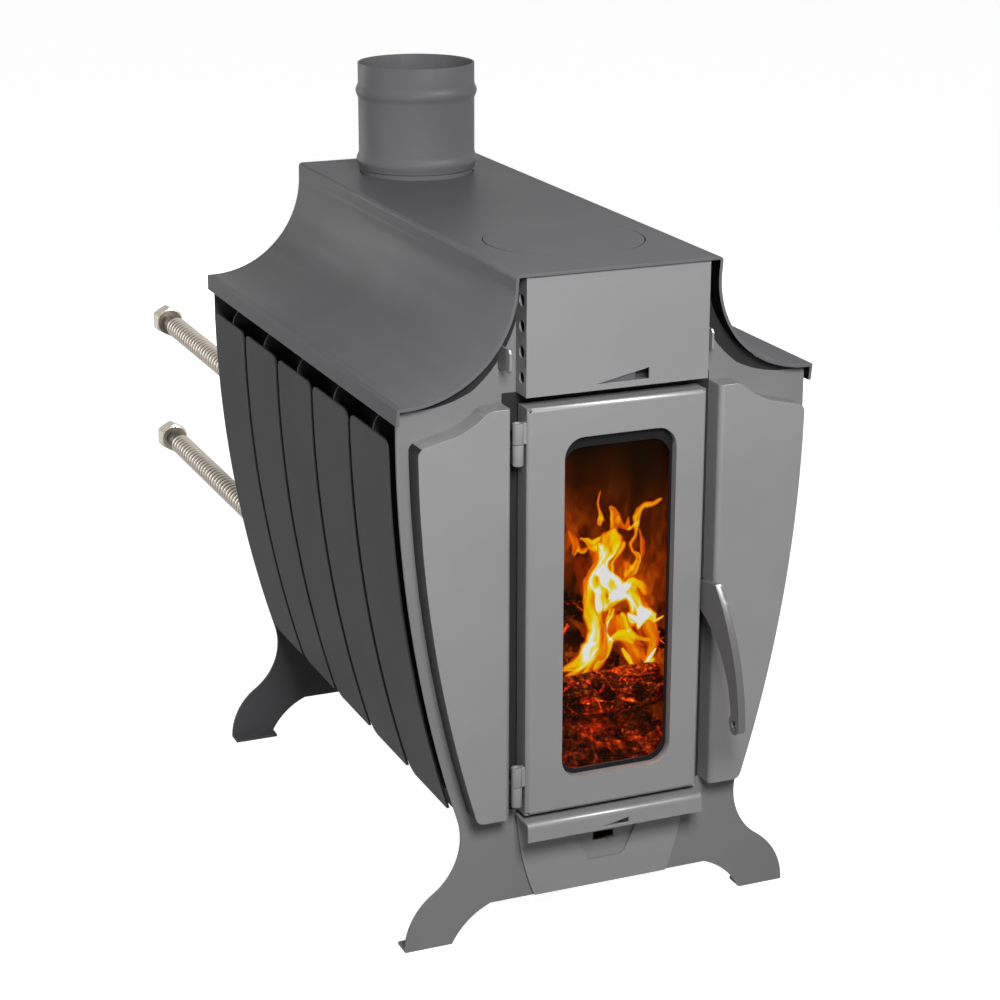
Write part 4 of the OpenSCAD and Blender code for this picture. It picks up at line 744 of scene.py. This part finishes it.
def bare_steel(name, colour, roughness, stretch=(1, 0.02, 1)):
    """Metal whose roughness varies in fine lines."""
    m, t, place = new_material(name)
    turned = add(t, "Mapping", {"Vector": place, "Scale": stretch})
    lines = add(t, "TexNoise", {"Vector": turned, "Scale": 1 / LINE, "Detail": 4})
    rough = add(t, "MapRange", {"Value": lines, "From Min": 0.3, "From Max": 0.7,
                                "To Min": roughness - 0.08, "To Max": roughness + 0.08})
    bump = add(t, "Bump", {"Height": lines, "Strength": 0.08, "Distance": 0.1 * MM})
    output(t, add(t, "BsdfPrincipled", {"Base Color": linear(colour), "Metallic": 1.0, "Roughness": rough,
                                        "Normal": bump}))
    return m


def corrugated_steel():
    """Tint follows the number kept on each point: painted shade in the grooves, lighter on the crests."""
    m, t, place = new_material("corrugated_steel_painted_groove_shade")
    crest = add(t, "Attribute", attribute_name="crest").outputs["Fac"]
    stain = add(t, "TexNoise", {"Vector": place, "Scale": 1 / STAIN, "Detail": 3})
    tint = ramp(t, crest, [(0.0, "#2e2822"), (0.45, "#6e665c"), (0.9, "#a39c92")])
    rough = add(t, "MapRange", {"Value": stain, "To Min": 0.3, "To Max": 0.48})
    output(t, add(t, "BsdfPrincipled", {"Base Color": tint, "Metallic": 1.0, "Roughness": rough}))
    return m


rolled_steel = bare_steel("cold_rolled_steel", "#8f8f8e", 0.38)
hose_steel = corrugated_steel()
nut_plate = bare_steel("nickel_plated_brass", "#a39b8b", 0.3, stretch=(1, 0.1, 1))

# %% [markdown]
# The grate is grey cast iron: sand from the mould leaves a pitted skin that scatters light. The water
# tank stands in the fire, and its scaled steel looks much the same.

# %% Cast iron
SAND = 1.5 * MM


def cast_iron():
    m, t, place = new_material("sand_cast_iron")
    sand = add(t, "TexNoise", {"Vector": place, "Scale": 1 / SAND, "Detail": 6, "Roughness": 0.7})
    tint = ramp(t, sand, [(0.35, "#161514"), (0.65, "#2c2927")])
    bump = add(t, "Bump", {"Height": sand, "Strength": 0.5, "Distance": 0.6 * MM})
    output(t, add(t, "BsdfPrincipled", {"Base Color": tint, "Roughness": 0.75, "Metallic": 0.6,
                                        "Normal": bump}))
    return m


iron = cast_iron()

# %% [markdown]
# The window is glass ceramic, which stays clear and hardly swells when hot. The smoke film that
# every stove window gets is nearly black with a touch of brown. It lets a little more than half of
# the light through, so that the fire stays deep in colour. The seals are glass fibre: a black tape
# round the glass and a white rope round the door.

# %% Glass ceramic and seals
FILM_CLOUD = 60 * MM
FILM_LIGHT, FILM_HEAVY = 0.4, 0.46
WAVES_TO_SCALE = 0.314


def glass_ceramic():
    m, t, place = new_material("glass_ceramic_with_smoke_film")
    film = add(t, "TexNoise", {"Vector": place, "Scale": 1 / FILM_CLOUD, "Detail": 3})
    alpha = add(t, "MapRange", {"Value": film, "To Min": FILM_LIGHT, "To Max": FILM_HEAVY})
    output(t, add(t, "BsdfPrincipled", {"Base Color": linear("#120600"), "Roughness": 0.08, "Alpha": alpha,
                                        "Specular IOR Level": 0.04}))
    return m


def braid(name, dark, light, strand):
    """Glass fibre braid: two sets of slanted waves cross each other, one strand width apart."""
    m, t, place = new_material(name)
    one = add(t, "Mapping", {"Vector": place, "Rotation": (0.5, 0.7, 0.3)})
    two = add(t, "Mapping", {"Vector": place, "Rotation": (-0.5, -0.7, 0.3)})
    waves = [add(t, "TexWave", {"Vector": v, "Scale": WAVES_TO_SCALE / strand, "Distortion": 0.4,
                                "Detail": 1}).outputs["Fac"] for v in (one, two)]
    top = add(t, "Math", {0: waves[0], 1: waves[1]}, operation="MAXIMUM")
    tint = ramp(t, top, [(0.2, dark), (0.9, light)])
    bump = add(t, "Bump", {"Height": top, "Strength": 0.7, "Distance": 0.4 * MM})
    output(t, add(t, "BsdfPrincipled", {"Base Color": tint, "Roughness": 0.9, "Normal": bump}))
    return m


window_glass = glass_ceramic()
seal_braid = braid("graphite_glass_fibre_tape", "#0b0b0b", "#232323", 1.2 * MM)
rope_braid = braid("white_glass_fibre_rope", "#8f8b82", "#dcd8cf", 1.6 * MM)

# %% [markdown]
# The inside of the firebox is steel that has been scorched many times: rust brown and soot black in
# soft patches. Its firelight is painted: the walls themselves emit an orange glow that is strongest
# level with the flames, and a painted fade takes both the glow and the brown to black under the
# roof; the line of the fade rises from the back to the door. The same plates are painted black
# outside. Which side a point is on follows from the plate itself: its normal points to the middle of
# the stove inside.

# %% Scorched steel
GLOW_FADE = [(0.0, 0.5), (0.2, 1.0), (0.45, 0.9), (0.53, 0.4), (0.6, 0.1), (0.68, 0.02), (1.0, 0.01)]
GLOW_LOW, GLOW_HIGH = 0.12, 0.52
GLOW_SLOPE = 0.2
GLOW_POWER = 2.4
SOOT, PATCHES, HAZE = 35 * MM, 16 * MM, 90 * MM


def scorched_steel():
    m, t, place = new_material("scorched_steel_painted_firelight_inside_black_outside")
    soot = add(t, "TexNoise", {"Vector": place, "Scale": 1 / SOOT, "Detail": 7, "Roughness": 0.68})
    brown = ramp(t, soot, [(0.3, "#0e0400"), (0.55, "#2a1204"), (0.75, "#4a2208")])
    patches = add(t, "TexNoise", {"Vector": place, "Scale": 1 / PATCHES, "Detail": 8, "Roughness": 0.72,
                                  "Distortion": 0.6})
    haze = add(t, "TexNoise", {"Vector": place, "Scale": 1 / HAZE, "Detail": 2})
    spot = add(t, "SeparateXYZ", {"Vector": place})
    deep = add(t, "Math", {0: spot.outputs["Y"], 1: GLOW_SLOPE, 2: -GLOW_SLOPE * (HOOD_FRONT + 0.12)},
               operation="MULTIPLY_ADD")
    height = add(t, "Math", {0: spot.outputs["Z"], 1: deep}, operation="ADD")
    level = add(t, "MapRange", {"Value": height, "From Min": GLOW_LOW, "From Max": GLOW_HIGH})
    fade = ramp(t, level, GLOW_FADE)
    inside = facing_in(t, place)
    # Painted shade: the soot brown is darkened by the fade towards the roof
    sooty = add(t, "VectorMath", {0: brown, 1: fade}, operation="MULTIPLY")
    tint = colour_mix(t, inside, linear("#0b0b0b"), sooty)
    mottle = add(t, "Math", {0: patches, 1: haze}, operation="MULTIPLY")
    # Painted firelight: the inner walls emit a mottled orange glow, faded the same way
    glow = ramp(t, mottle, [(0.14, "#2a0900"), (0.22, "#7c2600"), (0.3, "#cc5000"), (0.42, "#ff8a20")])
    shade = add(t, "VectorMath", {0: glow, 1: fade}, operation="MULTIPLY")
    seen = add(t, "Math", {0: inside, 1: GLOW_POWER}, operation="MULTIPLY")
    bump = add(t, "Bump", {"Height": soot, "Strength": 0.3, "Distance": 1 * MM})
    output(t, add(t, "BsdfPrincipled", {"Base Color": tint, "Roughness": 0.8, "Specular IOR Level": 0.1,
                                        "Emission Color": shade, "Emission Strength": seen, "Normal": bump}))
    return m


scorched = scorched_steel()

# %% [markdown]
# Charcoal is matte black, and crackled into small blocks whose skin carries painted firelight: brown
# and orange in its base colour, and orange on the ash; some patches are burnt darker. Where a point
# is hot enough it glows from dull red to orange, as iron does at the same heat. Flames shine from
# deep orange at their frayed edges through yellow to white, and the edge is almost clear.

# %% Charcoal, coals and flames
BURNT_PATCH = 16 * MM
FIRE = [(0.0, "#000000"), (0.25, "#3a0400"), (0.45, "#c01802"), (0.66, "#ff4204"), (0.86, "#ff8a14"),
        (1.0, "#ffc850")]
FLAME = [(0.0, "#b02400"), (0.14, "#e84400"), (0.28, "#ff7000"), (0.44, "#ffa600"), (0.58, "#ffd400"),
         (0.72, "#ffe800"), (0.82, "#fff490"), (0.93, "#ffffff")]
WHITE_HOT = 1.12
FLAME_POWER = 2.2


def glowing(name, attribute, dull, skin, ash, low, high, grain=4 * MM, block=8 * MM, power=2.6):
    """Dark crackled body, painted firelight on skin and ash; the attribute, frayed by noise, sets where and
    how much it glows.
    """
    m, t, place = new_material(name)
    value = add(t, "Attribute", attribute_name=attribute).outputs["Fac"]
    fleck = add(t, "TexNoise", {"Vector": place, "Scale": 1 / grain, "Detail": 6, "Roughness": 0.7})
    crackle = add(t, "TexVoronoi", {"Vector": place, "Scale": 1 / block}, feature="DISTANCE_TO_EDGE")
    top = add(t, "MapRange", {"Value": crackle, "From Max": 0.1})
    burnt = add(t, "TexNoise", {"Vector": place, "Scale": 1 / BURNT_PATCH, "Detail": 3})
    spared = add(t, "MapRange", {"Value": burnt, "From Min": 0.4, "From Max": 0.6})
    body = ramp(t, fleck, [(0.38, dull), (0.52, skin), (0.66, ash)])
    body = colour_mix(t, top, linear("#050100"), body)
    body = colour_mix(t, spared, linear("#1c0601"), body)
    frayed = add(t, "Math", {0: value, 1: fleck}, operation="MULTIPLY")
    hot = add(t, "MapRange", {"Value": frayed, "From Min": low, "From Max": high})
    fire = ramp(t, hot, FIRE)
    relief = add(t, "Math", {0: fleck, 1: top}, operation="MULTIPLY")
    bump = add(t, "Bump", {"Height": relief, "Strength": 0.8, "Distance": 1.2 * MM})
    output(t, add(t, "BsdfPrincipled", {"Base Color": body, "Roughness": 0.9, "Specular IOR Level": 0.0,
                                        "Emission Color": fire, "Emission Strength": power, "Normal": bump}))
    return m


def flame():
    """Light from a thin veil: the number kept on each point sets its colour and how clear it is."""
    m, t, _ = new_material("burning_wood_gas")
    value = add(t, "Attribute", attribute_name="light").outputs["Fac"]
    bright = add(t, "MapRange", {"Value": value, "From Max": WHITE_HOT})
    colour = ramp(t, bright, FLAME)
    alpha = add(t, "MapRange", {"Value": value, "From Min": DIMMEST, "From Max": DIMMEST + 0.4},
                interpolation_type="SMOOTHSTEP")
    output(t, add(t, "BsdfPrincipled", {"Base Color": linear("#000000"), "Roughness": 1.0,
                                        "Specular IOR Level": 0.0, "Emission Color": colour,
                                        "Emission Strength": FLAME_POWER, "Alpha": alpha}))
    return m


# The skin and ash colours of both are painted firelight
charred_wood = glowing("charred_wood", "crack", "#1a0802", "#94460f", "#e08a34", 0.17, 0.5)
live_coal = glowing("glowing_charcoal_and_ash", "heat", "#160601", "#9c4010", "#f08a3c", 0.19, 0.43,
                    grain=6 * MM, block=5 * MM, power=6.0)
flame_gas = flame()
logs.data.materials.append(charred_wood)
bed.data.materials.append(live_coal)
for curtain in flames:
    curtain.data.materials.append(flame_gas)

# The fire is left out of reflections, so the paint beside the window doesn't mirror it
for burning in [logs, bed] + flames:
    burning.visible_glossy = False

# %% [markdown]
# Each construction node now gets its finish. Sheet edges that a punch or laser leaves are never
# knife-sharp: a small bevel catches the thin bright line that the photograph shows along them. The
# node's mesh is loose triangles, so the modifiers first weld them and merge what is flat.

# %% Dress the construction nodes
FINISHES = {
    hood_paint: ["convector_hood", "hob_cover"],
    leg_paint: ["front_leg_panel"],
    slide_paint: ["lower_air_slider"],
    handle_paint: ["door_handle"],
    wing_paint: ["left_wing_panel", "right_wing_panel"],
    grey_paint: ["upper_air_box", "ash_drawer_front", "door_pan",
                 "door_hinge_barrels", "body_hinge_barrels", "panel_hooks"],
    pipe_paint: ["flue_collar", "flue_stub"],
    fin_paint: [f"{side}_fin_{i}" for side in ("left", "right") for i in range(1, 6)],
    shade_paint: ["upper_air_slider", "rear_leg_panel"],
    liner_paint: ["door_liner"],
    black_paint: ["hob_ring", "firebox_top", "smoke_baffle", "ash_box"],
    scorched: ["firebox_front", "firebox_shell", "firebox_back", "firebox_floor"],
    rolled_steel: ["glass_clamps", "clamp_screws", "hinge_pins", "handle_pin", "latch_catch", "ash_drawer",
                   "water_nipples"],
    iron: ["grate", "water_tank"],
    window_glass: ["door_glass"],
    seal_braid: ["glass_gasket"],
    rope_braid: ["door_gasket"],
}

WELD = 1e-5
FLAT = math.radians(0.5)
SHARP = math.radians(35)


def finish_node(name, material, edge):
    """Puts the material on a construction node and rounds its sharp edges by edge metres."""
    obj = nodes[name]
    obj.data.materials.clear()
    obj.data.materials.append(material)
    if edge:
        obj.modifiers.new("weld", "WELD").merge_threshold = WELD
        flat = obj.modifiers.new("merge flat faces", "DECIMATE")
        flat.decimate_type, flat.angle_limit = "DISSOLVE", FLAT
        bevel = obj.modifiers.new("soft edges", "BEVEL")
        bevel.width, bevel.segments, bevel.limit_method = edge, 2, "ANGLE"
        bevel.angle_limit = SHARP
        bevel.harden_normals = True


# Width of the rounded edge in millimetres; all other nodes keep their edges sharp
EDGES = {
    1.2: ["door_handle"],
    0.5: ["convector_hood", "left_wing_panel", "right_wing_panel"],
    0.4: ["door_pan", "front_leg_panel", "rear_leg_panel", "ash_drawer_front", "upper_air_box",
          "door_hinge_barrels", "body_hinge_barrels"],
    0.3: ["panel_hooks", "lower_air_slider", "flue_collar"],
    0.2: ["upper_air_slider"],
}
edge_of = {name: width * MM for width, names in EDGES.items() for name in names}
for material, names in FINISHES.items():
    for name in names:
        finish_node(name, material, edge_of.get(name, 0))
for obj in bpy.data.objects:
    if obj.name.endswith("_corrugated_hose"):
        obj.data.materials.append(hose_steel)
    elif obj.name.endswith("_union_nut"):
        obj.data.materials.append(nut_plate)
print("finishes", {m.name: len(n) for m, n in FINISHES.items()})

# %% [markdown]
# The stage is a pale floor that keeps the stove's soft shadow, in front of a white background. The
# light is a studio's: a key lamp high in front and a little to the left, a weaker soft lamp on each
# side, one behind, two lamps that only draw highlights on the bends, and a low even light from all
# round. Two small warm lamps in the fire light the logs, the coals and the walls.

# %% Stage and light
FLOOR_SHINE = 0.95
FILL = 0.08
FLOOR_HALF = 8
FLAME_BALL = 15 * MM
WHITE = (1, 1, 1, 1)


def seen_directly(tree):
    """1 for rays from the camera, through the glass or off a mirror-like surface, otherwise 0."""
    rays = add(tree, "LightPath").outputs
    share = rays["Is Camera Ray"]
    for kind in ("Is Transmission Ray", "Is Glossy Ray"):
        share = add(tree, "Math", {0: share, 1: rays[kind]}, operation="MAXIMUM")
    return share


def white_stage():
    """A floor that looks white and keeps the shadow; for all other light it is plain grey."""
    m, t, _ = new_material("studio_floor")
    matte = add(t, "BsdfDiffuse", {"Color": linear("#a8a8a8")})
    shine = add(t, "Emission", {"Color": WHITE, "Strength": FLOOR_SHINE})
    both = add(t, "AddShader", {0: matte, 1: shine})
    output(t, add(t, "MixShader", {0: seen_directly(t), 1: matte, 2: both}))
    mesh = bpy.data.meshes.new("floor")
    corners = [(x * FLOOR_HALF, y * FLOOR_HALF, 0) for x, y in ((-1, -1), (1, -1), (1, 1), (-1, 1))]
    mesh.from_pydata(corners, [], [(0, 1, 2, 3)])
    mesh.materials.append(m)
    floor = put("floor", mesh)


def studio_world():
    """White where it is looked at or seen through glass; a low even light for everything else."""
    world = bpy.data.worlds.new("studio")
    world.use_nodes = True
    t = world.node_tree
    t.nodes.clear()
    white = add(t, "Background", {"Color": WHITE, "Strength": 1.0})
    fill = add(t, "Background", {"Color": WHITE, "Strength": FILL})
    mix = add(t, "MixShader", {0: seen_directly(t), 1: fill, 2: white})
    add(t, "OutputWorld", {"Surface": mix})
    bpy.context.scene.world = world


def soft_lamp(name, place, size, power, light=True, shine=True):
    """A square area lamp that faces the stove's middle; it can give only light, or only highlights."""
    place = Vector(place)
    away = place - Vector((0, 0, 0.4))
    lamp = bpy.data.lights.new(name, "AREA")
    lamp.shape, lamp.size, lamp.energy = "SQUARE", size, power
    obj = put(name, lamp)
    obj.matrix_world = Matrix.Translation(place) @ away.to_track_quat("Z", "Y").to_matrix().to_4x4()
    obj.visible_diffuse, obj.visible_glossy, obj.visible_camera = light, shine, False


def fire_lamp(name, place, power, colour):
    """A small ball of light in the fire, which lights the logs, the coals and the walls round it."""
    lamp = bpy.data.lights.new(name, "POINT")
    lamp.energy, lamp.shadow_soft_size, lamp.color = power, FLAME_BALL, linear(colour)[:3]
    obj = put(name, lamp)
    obj.visible_glossy = False
    obj.location = place


white_stage()
studio_world()
soft_lamp("key_softbox", (-0.3, HOOD_FRONT - 1.3, 1.35), 0.5, 34.5)
soft_lamp("left_softbox", (-2.2, HOOD_FRONT + 0.3, 0.62), 1.0, 12)
soft_lamp("right_softbox", (2.4, HOOD_FRONT + 0.6, 0.6), 1.0, 8)
soft_lamp("back_softbox", (0.7, HOOD_FRONT + 2.9, 0.8), 1.2, 45, shine=False)
soft_lamp("edge_strip", (1.0, HOOD_FRONT - 0.8, 2.4), 0.6, 450, light=False)
soft_lamp("hollow_strip", (-1.15, HOOD_FRONT + 2.6, 0.65), 1.0, 16, light=False)
fire_lamp("flame_light", at(56, 92, 285), 2.0, "#ff9538")
fire_lamp("coal_light", at(20, 80, 180), 0.15, "#ff7a24")
bpy.context.scene.view_settings.view_transform = "Standard"
